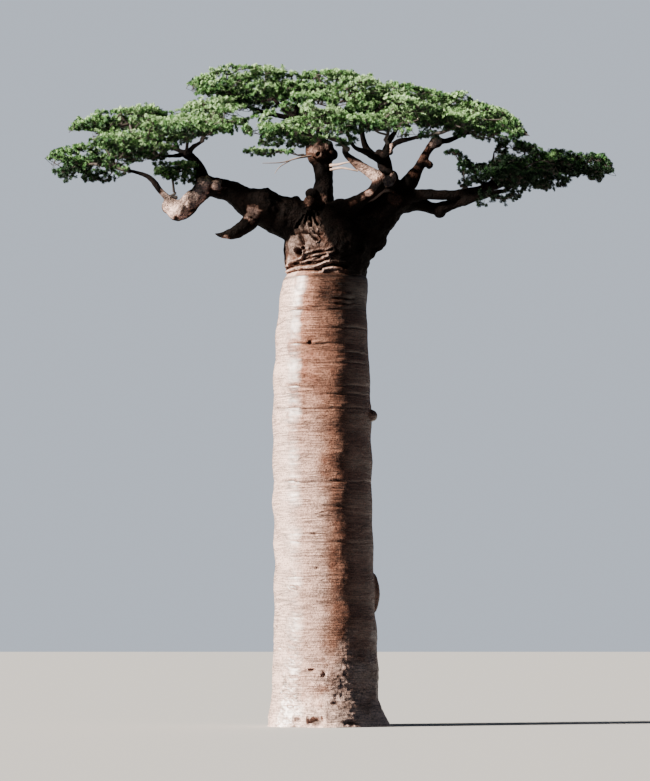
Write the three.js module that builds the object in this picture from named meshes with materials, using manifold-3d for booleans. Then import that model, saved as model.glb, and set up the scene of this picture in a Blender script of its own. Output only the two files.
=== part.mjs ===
// A flat-topped baobab, 18 m tall, rooted in level ground at z = 0.
// A smooth, bottle-shaped trunk carries a short head of crooked boughs, and flat cushions of leaves lie on their tips.
// The trunk, each bough and each cushion of leaves is a separate closed solid. Neighbours lie CLEAR apart.
// x runs to the right and y away from the side with the hanging stub. Tables are in metres and solids in millimetres.
import * as THREE from "three";
import { mergeVertices } from "three/addons/utils/BufferGeometryUtils.js";
import Module from "manifold-3d";

const wasm = await Module();
wasm.setup();

const METRE = 1000;
const CLEAR = 0.3;
const GOLDEN_SHARE = (Math.sqrt(5) - 1) / 2;
const GOLDEN_ANGLE = Math.PI * (3 - Math.sqrt(5));

// Trunk: height, radius and sideways shift of the centre, from the flat cut at the ground to the fork.
const TRUNK_GIRTHS = [
  [0.0, 1.56, 0.0],
  [0.7, 1.46, -0.05],
  [2.2, 1.4, -0.04],
  [4.4, 1.345, -0.07],
  [6.2, 1.34, -0.12],
  [8.1, 1.34, -0.12],
  [9.3, 1.315, -0.13],
  [10.6, 1.25, -0.14],
  [11.6, 1.19, -0.09],
  [12.3, 1.11, 0.0],
  [12.6, 1.15, 0.02],
  [13.1, 1.19, 0.04],
  [13.5, 1.01, 0.07],
  [13.85, 0.66, 0.06],
  [14.0, 0.3, 0.0],
];
const TRUNK_SIDES = 24;
const TRUNK_ROW = 0.56;
const FLARE_REACH = 0.1;
const FLARE_HEIGHT = 0.5;
const FLARE_LOBES = 5;
const FLARE_TURN = 0.5;
const FOLD_DEPTH = 0.012;
const FOLD_PITCH = 1.15;

// Old scars and burls that stand out of the trunk: height, bearing in degrees from +x, reach and half-height.
const BURLS = [
  { height: 8.4, bearing: -8, reach: 0.13, half: 0.15 },
  { height: 3.6, bearing: 4, reach: 0.1, half: 0.5 },
];
const BURL_SUNK = 2.2;
const BURL_WIDTH = 2;

const FEWEST_SIDES = 5;
const MOST_SIDES = 9;
const SIDES_PER_METRE = 10;
const ROW_PER_RADIUS = 2.6;
const SHORTEST_ROW = 0.42;
const KNUCKLE = 0.05;
const ROUND_ENDS = { shoulder: 0.5, shoulderRadius: 0.8, tip: 0.85 };
const CREST = 0.04;

// Boughs, each with its path and its radius at each point of the path, from the carrying end to the tip.
// A bough marked leafy ends flat, where it enters its cushion of leaves, and the others end in a rounded knuckle.
const BOUGHS = [
  {
    name: "left_bough",
    path: [[-0.41, 0, 13.75], [-1.14, -0.1, 13.88], [-1.78, -0.15, 14.1], [-2.2, -0.2, 14.32], [-2.7, -0.25, 14.56], [-3.3, -0.3, 14.67]],
    radii: [0.52, 0.59, 0.52, 0.39, 0.3, 0.26],
  },
  {
    name: "left_stub",
    path: [[-1.98, -0.35, 13.93], [-2.2, -0.6, 13.62], [-2.5, -0.8, 13.4], [-2.92, -1.0, 13.25]],
    radii: [0.23, 0.18, 0.14, 0.09],
    leafy: true,
  },
  {
    name: "left_elbow",
    path: [[-3.34, -0.3, 14.62], [-3.66, -0.3, 14.3], [-3.95, -0.35, 14.04], [-4.27, -0.4, 14.12], [-4.45, -0.4, 14.26]],
    radii: [0.27, 0.28, 0.28, 0.24, 0.18],
  },
  {
    name: "left_low_bough",
    path: [[-4.25, -0.4, 14.24], [-4.5, -0.4, 14.5], [-4.85, -0.3, 14.93], [-5.4, -0.2, 15.12]],
    radii: [0.13, 0.1, 0.087, 0.07],
    leafy: true,
  },
  {
    name: "left_riser",
    path: [[-3.34, -0.3, 14.74], [-3.47, -0.2, 15.1], [-3.66, -0.1, 15.41], [-3.9, 0, 15.62]],
    radii: [0.23, 0.18, 0.145, 0.13],
  },
  {
    name: "left_mid_bough",
    path: [[-3.86, 0, 15.6], [-4.23, -0.45, 15.47], [-4.6, -0.9, 15.44]],
    radii: [0.1, 0.082, 0.065],
    leafy: true,
  },
  {
    name: "left_top_bough",
    path: [[-3.86, 0, 15.62], [-4.3, 0.3, 15.83], [-4.95, 0.45, 16.12]],
    radii: [0.1, 0.08, 0.06],
    leafy: true,
  },
  {
    name: "left_back_bough",
    path: [[-3.83, 0.05, 15.64], [-3.86, 0.8, 16.05], [-3.86, 1.4, 16.42]],
    radii: [0.09, 0.077, 0.06],
    leafy: true,
  },
  {
    name: "left_inner_bough",
    path: [[-3.83, -0.05, 15.61], [-3.62, -0.2, 15.76], [-3.4, -0.25, 15.9]],
    radii: [0.085, 0.07, 0.06],
    leafy: true,
  },
  {
    name: "left_front_bough",
    path: [[-3.83, -0.1, 15.58], [-3.6, -1.2, 15.62], [-3.35, -2.1, 15.62]],
    radii: [0.09, 0.075, 0.06],
    leafy: true,
  },
  {
    name: "centre_column",
    path: [[-0.13, 0, 13.72], [-0.12, 0, 14.2], [-0.1, 0, 14.93], [-0.14, 0.05, 15.43], [-0.28, 0.1, 15.78]],
    radii: [0.5, 0.35, 0.26, 0.275, 0.24],
  },
  {
    name: "column_top",
    path: [[-0.29, 0.1, 15.75], [-0.6, 0.3, 16.22], [-0.88, 0.4, 16.66]],
    radii: [0.2, 0.19, 0.15],
  },
  {
    name: "top_left_bough",
    path: [[-0.88, 0.4, 16.62], [-1.56, 0.3, 16.75], [-2.2, 0.25, 16.95]],
    radii: [0.11, 0.088, 0.065],
    leafy: true,
  },
  {
    name: "top_bough",
    path: [[-0.88, 0.4, 16.68], [-0.85, 0.5, 16.9], [-0.78, 0.55, 17.08]],
    radii: [0.11, 0.095, 0.08],
    leafy: true,
  },
  {
    name: "back_left_bough",
    path: [[-0.88, 0.45, 16.68], [-1.2, 1.5, 17.08], [-1.5, 2.4, 17.5]],
    radii: [0.1, 0.085, 0.065],
    leafy: true,
  },
  {
    name: "back_mid_bough",
    path: [[-0.27, 0.15, 15.78], [-0.2, 1.6, 16.35], [-0.3, 3.5, 17.05]],
    radii: [0.14, 0.115, 0.075],
    leafy: true,
  },
  {
    name: "right_bough",
    path: [[0.45, 0, 12.8], [1.03, 0, 13.45], [1.54, 0, 14.02], [1.8, 0, 14.3]],
    radii: [0.68, 0.62, 0.49, 0.4],
  },
  {
    name: "arch_bough",
    path: [[0.1, -0.25, 14.0], [0.66, -0.42, 14.2], [1.17, -0.55, 14.45], [1.42, -0.6, 14.72], [1.46, -0.6, 14.94]],
    radii: [0.27, 0.24, 0.22, 0.2, 0.19],
  },
  {
    name: "pale_bough",
    path: [[1.46, -0.6, 14.9], [1.25, -0.85, 15.08], [0.92, -1.35, 15.2], [0.4, -2.4, 15.33]],
    radii: [0.19, 0.19, 0.15, 0.1],
    leafy: true,
  },
  {
    name: "right_riser",
    path: [[1.76, 0, 14.3], [1.65, 0.1, 14.84], [1.6, 0.2, 15.29], [1.54, 0.25, 15.56]],
    radii: [0.33, 0.275, 0.23, 0.19],
  },
  {
    name: "front_bough",
    path: [[1.52, 0.2, 15.52], [1.15, -0.5, 15.72], [0.7, -1.2, 15.85], [0.5, -1.6, 16.2]],
    radii: [0.12, 0.1, 0.08, 0.065],
    leafy: true,
  },
  {
    name: "fork_up",
    path: [[1.54, 0.28, 15.6], [1.25, 0.35, 15.95], [1.15, 0.1, 16.4], [1.3, -0.15, 16.75]],
    radii: [0.12, 0.1, 0.085, 0.068],
    leafy: true,
  },
  {
    name: "fork_right",
    path: [[1.57, 0.25, 15.6], [1.85, 0.0, 15.86], [2.3, -0.8, 15.82], [2.85, -1.9, 15.8]],
    radii: [0.13, 0.11, 0.09, 0.065],
    leafy: true,
  },
  {
    name: "fork_front",
    path: [[1.54, 0.15, 15.56], [1.62, -1.2, 15.5], [1.6, -2.75, 15.5]],
    radii: [0.12, 0.1, 0.07],
    leafy: true,
  },
  {
    name: "fork_back",
    path: [[1.57, 0.3, 15.62], [1.75, 1.3, 16.15], [2.1, 3.1, 16.95]],
    radii: [0.12, 0.1, 0.07],
    leafy: true,
  },
  {
    name: "right_diagonal",
    path: [[1.95, 0, 14.42], [2.33, 0, 14.96], [2.58, 0, 15.35], [2.77, 0, 15.71], [2.95, 0, 15.93]],
    radii: [0.26, 0.2, 0.173, 0.155, 0.14],
  },
  {
    name: "diagonal_right",
    path: [[2.97, 0, 15.92], [3.4, 0.02, 16.0], [3.75, 0.05, 16.18]],
    radii: [0.1, 0.08, 0.065],
    leafy: true,
  },
  {
    name: "diagonal_back",
    path: [[2.95, 0.02, 15.94], [3.4, 1.1, 16.12], [3.95, 2.1, 16.5]],
    radii: [0.1, 0.085, 0.065],
    leafy: true,
  },
  {
    name: "upper_limb",
    path: [[1.9, -0.1, 14.36], [2.68, -0.2, 14.48], [3.5, -0.3, 14.46], [4.32, -0.3, 14.62], [5.3, -0.35, 14.88], [6.0, -0.3, 14.98]],
    radii: [0.25, 0.16, 0.153, 0.136, 0.1, 0.075],
    leafy: true,
  },
  {
    name: "lower_limb",
    path: [[1.7, 0.1, 14.12], [2.42, 0.15, 14.16], [3.02, 0.1, 14.06], [3.5, -0.1, 14.16], [4.2, -0.6, 14.3], [4.8, -1.0, 14.45]],
    radii: [0.33, 0.22, 0.19, 0.15, 0.11, 0.075],
    leafy: true,
  },
  {
    name: "far_right_fork",
    path: [[4.3, -0.28, 14.64], [4.55, -0.05, 14.85], [4.75, 0.15, 15.05]],
    radii: [0.1, 0.085, 0.07],
    leafy: true,
  },
  {
    name: "far_right_back_bough",
    path: [[4.15, -0.25, 14.6], [4.55, 0.7, 14.85], [5.0, 1.45, 15.1]],
    radii: [0.1, 0.085, 0.065],
    leafy: true,
  },
];

// Cushions of leaves: the bough that each stem grows from, the middle and half-size of its space, and how many tips.
// The smallest three grow straight from the side of a bough, at the point given as root.
const CUSHIONS = [
  { name: "left_low_leaves", bough: "left_low_bough", centre: [-6.3, 0, 15.42], half: [1.6, 1.6, 0.74], tips: 7 },
  { name: "left_mid_leaves", bough: "left_top_bough", centre: [-5.85, 0.55, 16.5], half: [1.5, 1.5, 0.58], tips: 6 },
  { name: "left_front_leaves", bough: "left_mid_bough", centre: [-4.95, -1.85, 15.7], half: [1.4, 1.4, 0.58], tips: 7 },
  { name: "left_inner_leaves", bough: "left_inner_bough", centre: [-3.3, -0.2, 16.45], half: [1.35, 1.3, 0.64], tips: 6 },
  { name: "left_back_leaves", bough: "left_back_bough", centre: [-4.0, 2.5, 16.8], half: [1.4, 1.45, 0.55], tips: 5 },
  { name: "left_cluster", bough: "left_elbow", root: [-4.17, -0.4, 14.2], centre: [-4.16, -0.5, 15.02], half: [0.52, 0.55, 0.32], tips: 2 },
  { name: "column_wisp", bough: "centre_column", root: [-0.25, -0.1, 15.5], centre: [-1.45, -0.2, 15.62], half: [0.8, 0.62, 0.34], tips: 3 },
  { name: "top_left_leaves", bough: "top_left_bough", centre: [-2.6, 0.3, 17.5], half: [1.35, 1.5, 0.72], tips: 7 },
  { name: "top_mid_leaves", bough: "top_bough", centre: [-0.45, 0.75, 17.55], half: [1.35, 1.5, 0.72], tips: 7 },
  { name: "top_right_leaves", bough: "fork_up", centre: [1.75, 0, 17.13], half: [1.4, 1.55, 0.66], tips: 6 },
  { name: "right_top_leaves", bough: "diagonal_right", centre: [4.15, 0.05, 16.7], half: [1.5, 1.5, 0.66], tips: 7 },
  { name: "front_mid_leaves", bough: "pale_bough", centre: [-0.75, -3.85, 15.68], half: [1.45, 1.6, 0.6], tips: 6 },
  { name: "front_right_leaves", bough: "fork_front", centre: [1.6, -4.1, 15.82], half: [1.4, 1.5, 0.6], tips: 6 },
  { name: "front_far_right_leaves", bough: "fork_right", centre: [3.8, -2.9, 16.05], half: [1.45, 1.45, 0.6], tips: 6 },
  { name: "front_left_leaves", bough: "left_front_bough", centre: [-3.15, -3.1, 15.85], half: [1.25, 1.4, 0.52], tips: 5 },
  { name: "top_front_leaves", bough: "front_bough", centre: [0.35, -2.1, 16.75], half: [1.35, 1.2, 0.58], tips: 5 },
  { name: "back_left_leaves", bough: "back_left_bough", centre: [-1.85, 3.55, 17.72], half: [1.35, 1.4, 0.5], tips: 5 },
  { name: "back_mid_leaves", bough: "back_mid_bough", centre: [0.1, 4.9, 17.5], half: [1.35, 1.4, 0.5], tips: 5 },
  { name: "back_right_leaves", bough: "fork_back", centre: [2.6, 4.2, 17.4], half: [1.45, 1.5, 0.52], tips: 5 },
  { name: "back_far_right_leaves", bough: "diagonal_back", centre: [4.75, 2.9, 16.85], half: [1.35, 1.45, 0.52], tips: 5 },
  { name: "far_right_upper_leaves", bough: "far_right_fork", centre: [4.9, 0.3, 15.45], half: [1.1, 1.05, 0.72], tips: 5 },
  { name: "far_right_tip_leaves", bough: "upper_limb", centre: [6.85, -0.2, 15.2], half: [1.15, 1.25, 0.64], tips: 5 },
  { name: "far_right_low_leaves", bough: "lower_limb", centre: [5.4, -1.4, 14.8], half: [1.3, 1.0, 0.58], tips: 5 },
  { name: "far_right_back_leaves", bough: "far_right_back_bough", centre: [5.85, 2.35, 15.5], half: [1.2, 1.25, 0.52], tips: 4 },
  { name: "right_wisp", bough: "upper_limb", root: [3.75, -0.32, 14.5], centre: [3.72, -0.45, 15.27], half: [0.52, 0.55, 0.4], tips: 2 },
];
// How far out the tips reach, and how low and high, as shares of the cushion's half-size.
const TIP_REACH = 0.72;
const TIP_RISE = [-0.4, 0.6];
const RISE_STRAY = 0.3;
const DOME_FALL = 0.5;

// Where the hub stands between the stem's foot and the cushion's middle, and how much nearer a newer joint must be.
const HUB_SHARES = [0.45, 0.45, 0.35];
const NEARER = 0.9;

// A leaf's place along its twig as a share of the twig, the turn off the twig's line in degrees, and its size.
const LEAF_SITES = [
  { share: 1, turn: 0, size: 1 },
  { share: 0.85, turn: 68, size: 1 },
  { share: 0.7, turn: -70, size: 1 },
  { share: 0.4, turn: 80, size: 0.9 },
];
const LEAF_TRIES = 14;
const LEAF_STRAY = 34;
const LEAF_LIFT = [-25, 65];
const LEAF_ROLL = 80;
const LEAF_LENGTH = 1.2;
const LEAF_SHRINK = 0.45;
const LEAF_HALF_WIDTH = 0.37;
const LEAF_THICKNESS = 0.06;
const LEAF_WIDEST = 0.55;
const LEAF_THICKEST = 0.3;
const LEAF_SUNK = 0.03;
const FULL_SPACE = 1.2;
const TIP_RADIUS = 0.035;
const MOST_LOAD = 4;
const SIDE_TWIG_NECK = 0.1;
const SPACE_MARGIN = 0.03;
const LIMB_MARGIN = 0.03;

// Slivers thinner than this, in millimetres, are evened out of a cushion, and far finer ones out of every cut.
const SLIVER = 2;
const CUT_SLIVER = 0.02;

const BARK = new THREE.MeshStandardMaterial({ color: "#a5816d", roughness: 0.85, metalness: 0 });
const FOLIAGE = new THREE.MeshStandardMaterial({ color: "#63874a", roughness: 0.65, metalness: 0 });

const millimetres = (point) => new THREE.Vector3(...point).multiplyScalar(METRE);

// Numbers from 0 to 1 that come out the same on every run.
function seeded(seed) {
  let state = seed >>> 0;
  return () => {
    state = (Math.imul(state, 1664525) + 1013904223) >>> 0;
    return state / 4294967296;
  };
}

// A closed skin over rows of points, each row a ring round the axis, with a point at each end.
function skin(rows, first, last) {
  const sides = rows[0].length;
  const points = [...rows.flat(), first, last];
  const faces = [];
  for (let row = 0; row < rows.length; row++) {
    for (let side = 0; side < sides; side++) {
      const next = (side + 1) % sides;
      const a = row * sides + side;
      const b = row * sides + next;
      if (row === 0) faces.push(points.length - 2, b, a);
      if (row === rows.length - 1) faces.push(points.length - 1, a, b);
      else faces.push(a, b, b + sides, a, b + sides, a + sides);
    }
  }
  const geometry = new THREE.BufferGeometry().setFromPoints(points);
  return geometry.setIndex(faces);
}

function solidOf(geometry) {
  const merged = mergeVertices(geometry, 1e-3);
  const mesh = new wasm.Mesh({
    numProp: 3,
    vertProperties: merged.attributes.position.array,
    triVerts: new Uint32Array(merged.index.array),
  });
  return new wasm.Manifold(mesh);
}

function geometryOf(solid) {
  const mesh = solid.getMesh();
  const geometry = new THREE.BufferGeometry();
  geometry.setAttribute("position", new THREE.BufferAttribute(new Float32Array(mesh.vertProperties), 3));
  geometry.setIndex(new THREE.BufferAttribute(new Uint32Array(mesh.triVerts), 1));
  geometry.computeVertexNormals();
  return geometry;
}

const boxesMeet = (a, b) => [0, 1, 2].every((axis) => a.min[axis] < b.max[axis] && b.min[axis] < a.max[axis]);

// A solid cut clear of its neighbours, without the scraps that a cut leaves.
function cutClear(solid, cutters) {
  const near = cutters.filter((cutter) => boxesMeet(solid.boundingBox(), cutter.boundingBox()));
  const cut = near.reduce((left, cutter) => left.subtract(cutter), solid).simplify(CUT_SLIVER);
  return cut.decompose().reduce((a, b) => (a.volume() > b.volume() ? a : b));
}

// The value of a table's column at a height, eased between its rows.
function girthAt(height, column) {
  const above = TRUNK_GIRTHS.findIndex((row) => row[0] >= height);
  if (above <= 0) return TRUNK_GIRTHS[0][column];
  const low = TRUNK_GIRTHS[above - 1];
  const high = TRUNK_GIRTHS[above];
  return THREE.MathUtils.lerp(low[column], high[column], (height - low[0]) / (high[0] - low[0]));
}

function trunkRadius(height, bearing) {
  const lobes = 0.5 + 0.5 * Math.cos(FLARE_LOBES * bearing + FLARE_TURN);
  const flare = FLARE_REACH * lobes * Math.exp(-height / FLARE_HEIGHT);
  const folds = FOLD_DEPTH * Math.sin((2 * Math.PI * height) / FOLD_PITCH + Math.sin(2 * bearing));
  return girthAt(height, 1) * (1 + folds) + flare;
}

function trunkSolid(extra = 0) {
  const top = TRUNK_GIRTHS.at(-1)[0];
  const count = Math.round(top / TRUNK_ROW);
  const heights = Array.from({ length: count + 1 }, (_, row) => (top * row) / count);
  const rows = heights.map((height) =>
    Array.from({ length: TRUNK_SIDES }, (_, side) => {
      const bearing = (2 * Math.PI * side) / TRUNK_SIDES;
      const radius = trunkRadius(height, bearing) + extra;
      return millimetres([girthAt(height, 2) + radius * Math.cos(bearing), radius * Math.sin(bearing), height]);
    }),
  );
  const crest = millimetres([girthAt(top, 2), 0, top + CREST + extra]);
  return solidOf(skin(rows, new THREE.Vector3(0, 0, 0), crest));
}

// A burl is a squashed ball, half sunk in the trunk's side.
function burlSolid(burl) {
  const bearing = THREE.MathUtils.degToRad(burl.bearing);
  const ball = new THREE.IcosahedronGeometry(1, 1);
  ball.deleteAttribute("normal");
  ball.deleteAttribute("uv");
  ball.scale(burl.reach * BURL_SUNK, burl.reach * BURL_WIDTH, burl.half);
  ball.translate(trunkRadius(burl.height, bearing) - burl.reach * (BURL_SUNK - 1), 0, 0);
  ball.rotateZ(bearing);
  ball.translate(girthAt(burl.height, 2), 0, burl.height);
  return solidOf(ball.scale(METRE, METRE, METRE));
}

// A tapering limb along a smooth path. extra makes it that much fatter and longer, to cut its neighbours clear of it.
function limbSolid(limb, extra = 0) {
  const curve = new THREE.CatmullRomCurve3(limb.path.map(millimetres), false, "centripetal");
  const random = seeded(limb.name.length * 7919 + Math.round(limb.path[0][0] * 100));
  const sides = Math.min(MOST_SIDES, FEWEST_SIDES + Math.round(SIDES_PER_METRE * (limb.radii[0] - 0.1)));
  const spans = limb.radii.length - 1;
  const middle = limb.radii.reduce((a, b) => a + b) / limb.radii.length;
  const row = Math.max(middle * ROW_PER_RADIUS, SHORTEST_ROW);
  const steps = Math.max(spans, Math.round(curve.getLength() / METRE / row));
  const rows = [];
  let across = new THREE.Vector3(0.13, 1, 0.07);
  const ring = (centre, along, radius) => {
    across = across.clone().addScaledVector(along, -across.dot(along)).normalize();
    const other = new THREE.Vector3().crossVectors(along, across);
    return Array.from({ length: sides }, (_, side) => {
      const turn = (2 * Math.PI * side) / sides;
      return centre
        .clone()
        .addScaledVector(across, radius * Math.cos(turn))
        .addScaledVector(other, radius * Math.sin(turn));
    });
  };
  for (let step = 0; step <= steps; step++) {
    const share = step / steps;
    const place = Math.min(share * spans, spans - 1e-9);
    const radius = THREE.MathUtils.lerp(limb.radii[Math.floor(place)], limb.radii[Math.floor(place) + 1], place % 1);
    const knuckle = 1 + KNUCKLE * (2 * random() - 1);
    rows.push(ring(curve.getPoint(share), curve.getTangent(share), radius * knuckle * METRE + extra));
  }
  const start = curve.getPoint(0).addScaledVector(curve.getTangent(0), -extra);
  const along = curve.getTangent(1);
  const tip = curve.getPoint(1);
  const tipRadius = limb.radii.at(-1) * METRE;
  if (limb.leafy) return solidOf(skin(rows, start, tip.addScaledVector(along, extra)));
  const shoulder = tip.clone().addScaledVector(along, ROUND_ENDS.shoulder * tipRadius);
  rows.push(ring(shoulder, along, ROUND_ENDS.shoulderRadius * tipRadius + extra));
  return solidOf(skin(rows, start, tip.addScaledVector(along, ROUND_ENDS.tip * tipRadius + extra)));
}

// Where a point lies in a cushion's space: 0 at its middle and 1 on its skin.
const depthIn = (cushion, point) =>
  Math.hypot(...point.map((value, axis) => (value - cushion.centre[axis]) / cushion.half[axis]));

const inOwnSpace = (cushion, point) => {
  const own = depthIn(cushion, point) + SPACE_MARGIN;
  return own < 1 && CUSHIONS.every((other) => other === cushion || own < depthIn(other, point));
};

// The distance from a point to a limb's skin, in metres.
function limbDistance(limb, point) {
  const here = new THREE.Vector3(...point);
  const nearest = new THREE.Vector3();
  let least = Infinity;
  for (let i = 1; i < limb.path.length; i++) {
    const span = new THREE.Line3(new THREE.Vector3(...limb.path[i - 1]), new THREE.Vector3(...limb.path[i]));
    span.closestPointToPoint(here, true, nearest);
    least = Math.min(least, nearest.distanceTo(here) - Math.max(limb.radii[i - 1], limb.radii[i]));
  }
  return least;
}

const clearOfLimbs = (point) => BOUGHS.every((bough) => limbDistance(bough, point) > LIMB_MARGIN);

// The rule of growth. A hub stands low in the cushion, and its tips are spread by the golden angle over a domed sheet.
// Nearest first, each tip is joined by a twig to the nearest joint that is nearer the hub than itself.
function grow(cushion, random) {
  const bough = BOUGHS.find((b) => b.name === cushion.bough);
  const root = cushion.root ?? bough.path.at(-1);
  const hub = cushion.centre.map((value, axis) => THREE.MathUtils.lerp(root[axis], value, HUB_SHARES[axis]));
  const turn = 2 * Math.PI * random();
  const tips = Array.from({ length: cushion.tips }, (_, i) => {
    const out = TIP_REACH * Math.sqrt((i + 0.5) / cushion.tips);
    const bearing = turn + i * GOLDEN_ANGLE;
    const share = (i * GOLDEN_SHARE + RISE_STRAY * random()) % 1;
    const rise = THREE.MathUtils.lerp(...TIP_RISE, share) * (1 - DOME_FALL * out);
    return cushion.centre.map(
      (value, axis) => value + cushion.half[axis] * [out * Math.cos(bearing), out * Math.sin(bearing), rise][axis],
    );
  });
  const distance = (a, b) => Math.hypot(...a.map((value, axis) => value - b[axis]));
  tips.sort((a, b) => distance(a, hub) - distance(b, hub));
  const joints = [{ at: root, load: 0, from: -1 }, { at: hub, load: 0, from: 0 }];
  for (const tip of tips) {
    let from = 1;
    for (let i = 2; i < joints.length; i++) {
      if (distance(tip, joints[i].at) < NEARER * distance(tip, joints[from].at)) from = i;
    }
    joints.push({ at: tip, load: 0, from, tip: true });
    for (let i = joints.length - 1; i >= 0; i = joints[i].from) joints[i].load++;
  }
  return joints;
}

// A three-sided twig through a line of points, with its radius at each. A side twig starts as a point inside another.
function twigSolid(line, radii, pointed) {
  let across = new THREE.Vector3(0.1, 0.2, 1);
  const rows = line.map((point, i) => {
    const back = line[Math.max(i - 1, 0)];
    const next = line[Math.min(i + 1, line.length - 1)];
    const along = new THREE.Vector3().subVectors(next, back).normalize();
    across = across.clone().addScaledVector(along, -across.dot(along)).normalize();
    const other = new THREE.Vector3().crossVectors(along, across);
    return [0, 1, 2].map((side) =>
      point
        .clone()
        .addScaledVector(across, radii[i] * Math.cos((2 * Math.PI * side) / 3))
        .addScaledVector(other, radii[i] * Math.sin((2 * Math.PI * side) / 3)),
    );
  });
  return solidOf(skin(pointed ? rows.slice(1) : rows, line[0], line.at(-1)));
}

// The twigs of a cushion: at each joint the most heavily laden branch runs on, and the others start new twigs.
function twigsOf(joints) {
  const branches = joints.map((_, i) => joints.map((joint, j) => (joint.from === i ? j : -1)).filter((j) => j > 0));
  branches.forEach((list) => list.sort((a, b) => joints[b].load - joints[a].load));
  const starts = [[0, branches[0][0]], ...branches.flatMap((list, i) => list.slice(1).map((j) => [i, j]))];
  return starts.map(([start, first]) => {
    const line = [start, first];
    while (branches[line.at(-1)].length) line.push(branches[line.at(-1)][0]);
    const radii = line.map((i, k) => {
      const load = k === 0 ? joints[first].load : joints[i].load;
      return TIP_RADIUS * Math.sqrt(Math.min(load, MOST_LOAD)) * METRE;
    });
    const points = line.map((i) => millimetres(joints[i].at));
    if (start > 0) {
      const out = points[1].clone().sub(points[0]).normalize();
      points.splice(1, 0, points[0].clone().addScaledVector(out, SIDE_TWIG_NECK * METRE));
      radii.splice(1, 0, radii[0]);
    }
    return { solid: twigSolid(points, radii, start > 0), line };
  });
}

// A leaf, which stands for a spray: a pointed blade of eight faces, thickest along its rib.
function leafPoints(root, bearing, lift, roll, length) {
  const along = new THREE.Vector3(Math.cos(bearing) * Math.cos(lift), Math.sin(bearing) * Math.cos(lift), Math.sin(lift));
  const across = new THREE.Vector3(-Math.sin(bearing), Math.cos(bearing), 0).applyAxisAngle(along, roll);
  const up = new THREE.Vector3().crossVectors(along, across);
  const half = (LEAF_HALF_WIDTH * length) / LEAF_LENGTH;
  const at = (forward, side, rise) =>
    new THREE.Vector3(...root)
      .addScaledVector(along, forward * length)
      .addScaledVector(across, side * half)
      .addScaledVector(up, (rise * LEAF_THICKNESS) / 2);
  return [
    at(-LEAF_SUNK / length, 0, 0),
    at(LEAF_WIDEST, -1, 0),
    at(1, 0, 0),
    at(LEAF_WIDEST, 1, 0),
    at(LEAF_THICKEST, 0, 1),
    at(LEAF_THICKEST, 0, -1),
  ];
}

function leafSolid(points) {
  const geometry = new THREE.BufferGeometry().setFromPoints(points.map((p) => p.clone().multiplyScalar(METRE)));
  const faces = [0, 1, 2, 3].flatMap((i) => [4, i, (i + 1) % 4, 5, (i + 1) % 4, i]);
  return solidOf(geometry.setIndex(faces));
}

const cross = (a, b) => boxesMeet(a.boundingBox(), b.boundingBox()) && a.intersect(b).volume() > 0;

// One cushion: its stem, twigs and leaves fused into one solid, and cut clear of the limbs.
// A leaf is turned a little until it fits, and is left out when no turn clears the space, the limbs and its neighbours.
function cushionSolid(cushion, order, cutters) {
  const random = seeded(1000 + 17 * order);
  const joints = grow(cushion, random);
  const twigs = twigsOf(joints);
  const leaves = [];
  const scale = Math.min(1, cushion.half[0] / FULL_SPACE);
  for (const site of LEAF_SITES) {
    for (const [i, joint] of joints.entries()) {
      if (!joint.tip) continue;
      const from = joints[joint.from].at;
      const root = joint.at.map((value, axis) => THREE.MathUtils.lerp(from[axis], value, site.share));
      const heading = Math.atan2(joint.at[1] - from[1], joint.at[0] - from[0]);
      for (let attempt = 0; attempt < LEAF_TRIES; attempt++) {
        const bearing = heading + THREE.MathUtils.degToRad(site.turn + LEAF_STRAY * (2 * random() - 1));
        const lift = THREE.MathUtils.degToRad(THREE.MathUtils.lerp(...LEAF_LIFT, random()));
        const roll = THREE.MathUtils.degToRad(LEAF_ROLL * (2 * random() - 1));
        const length = LEAF_LENGTH * scale * site.size * (1 - (LEAF_SHRINK * attempt) / LEAF_TRIES);
        const points = leafPoints(root, bearing, lift, roll, length);
        const outer = points.slice(1).map((p) => p.toArray());
        const middles = outer.map((p) => p.map((value, axis) => (value + root[axis]) / 2));
        if (![...outer, ...middles].every((p) => inOwnSpace(cushion, p) && clearOfLimbs(p))) continue;
        const leaf = leafSolid(points);
        const others = twigs.filter((twig) => !twig.line.includes(i)).map((twig) => twig.solid);
        if ([...leaves, ...others].some((other) => cross(leaf, other))) continue;
        leaves.push(leaf);
        break;
      }
    }
  }
  const whole = [...twigs.map((twig) => twig.solid), ...leaves].reduce((solid, piece) => solid.add(piece));
  return cutClear(whole.simplify(SLIVER), cutters);
}

function meshOf(name, solid, material) {
  const mesh = new THREE.Mesh(geometryOf(solid), material);
  mesh.name = name;
  return mesh;
}

function buildTree() {
  const tree = new THREE.Group();
  const burls = BURLS.map(burlSolid);
  tree.add(meshOf("trunk", burls.reduce((solid, burl) => solid.add(burl), trunkSolid()), BARK));
  const cutters = [trunkSolid(CLEAR / METRE)];
  for (const bough of BOUGHS) {
    tree.add(meshOf(bough.name, cutClear(limbSolid(bough), cutters), BARK));
    cutters.push(limbSolid(bough, CLEAR));
  }
  CUSHIONS.forEach((cushion, order) => {
    tree.add(meshOf(cushion.name, cushionSolid(cushion, order, cutters), FOLIAGE));
  });
  return tree;
}

export default buildTree();
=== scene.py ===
import math

import bmesh
import bpy
import numpy as np
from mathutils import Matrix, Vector, kdtree


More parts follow.
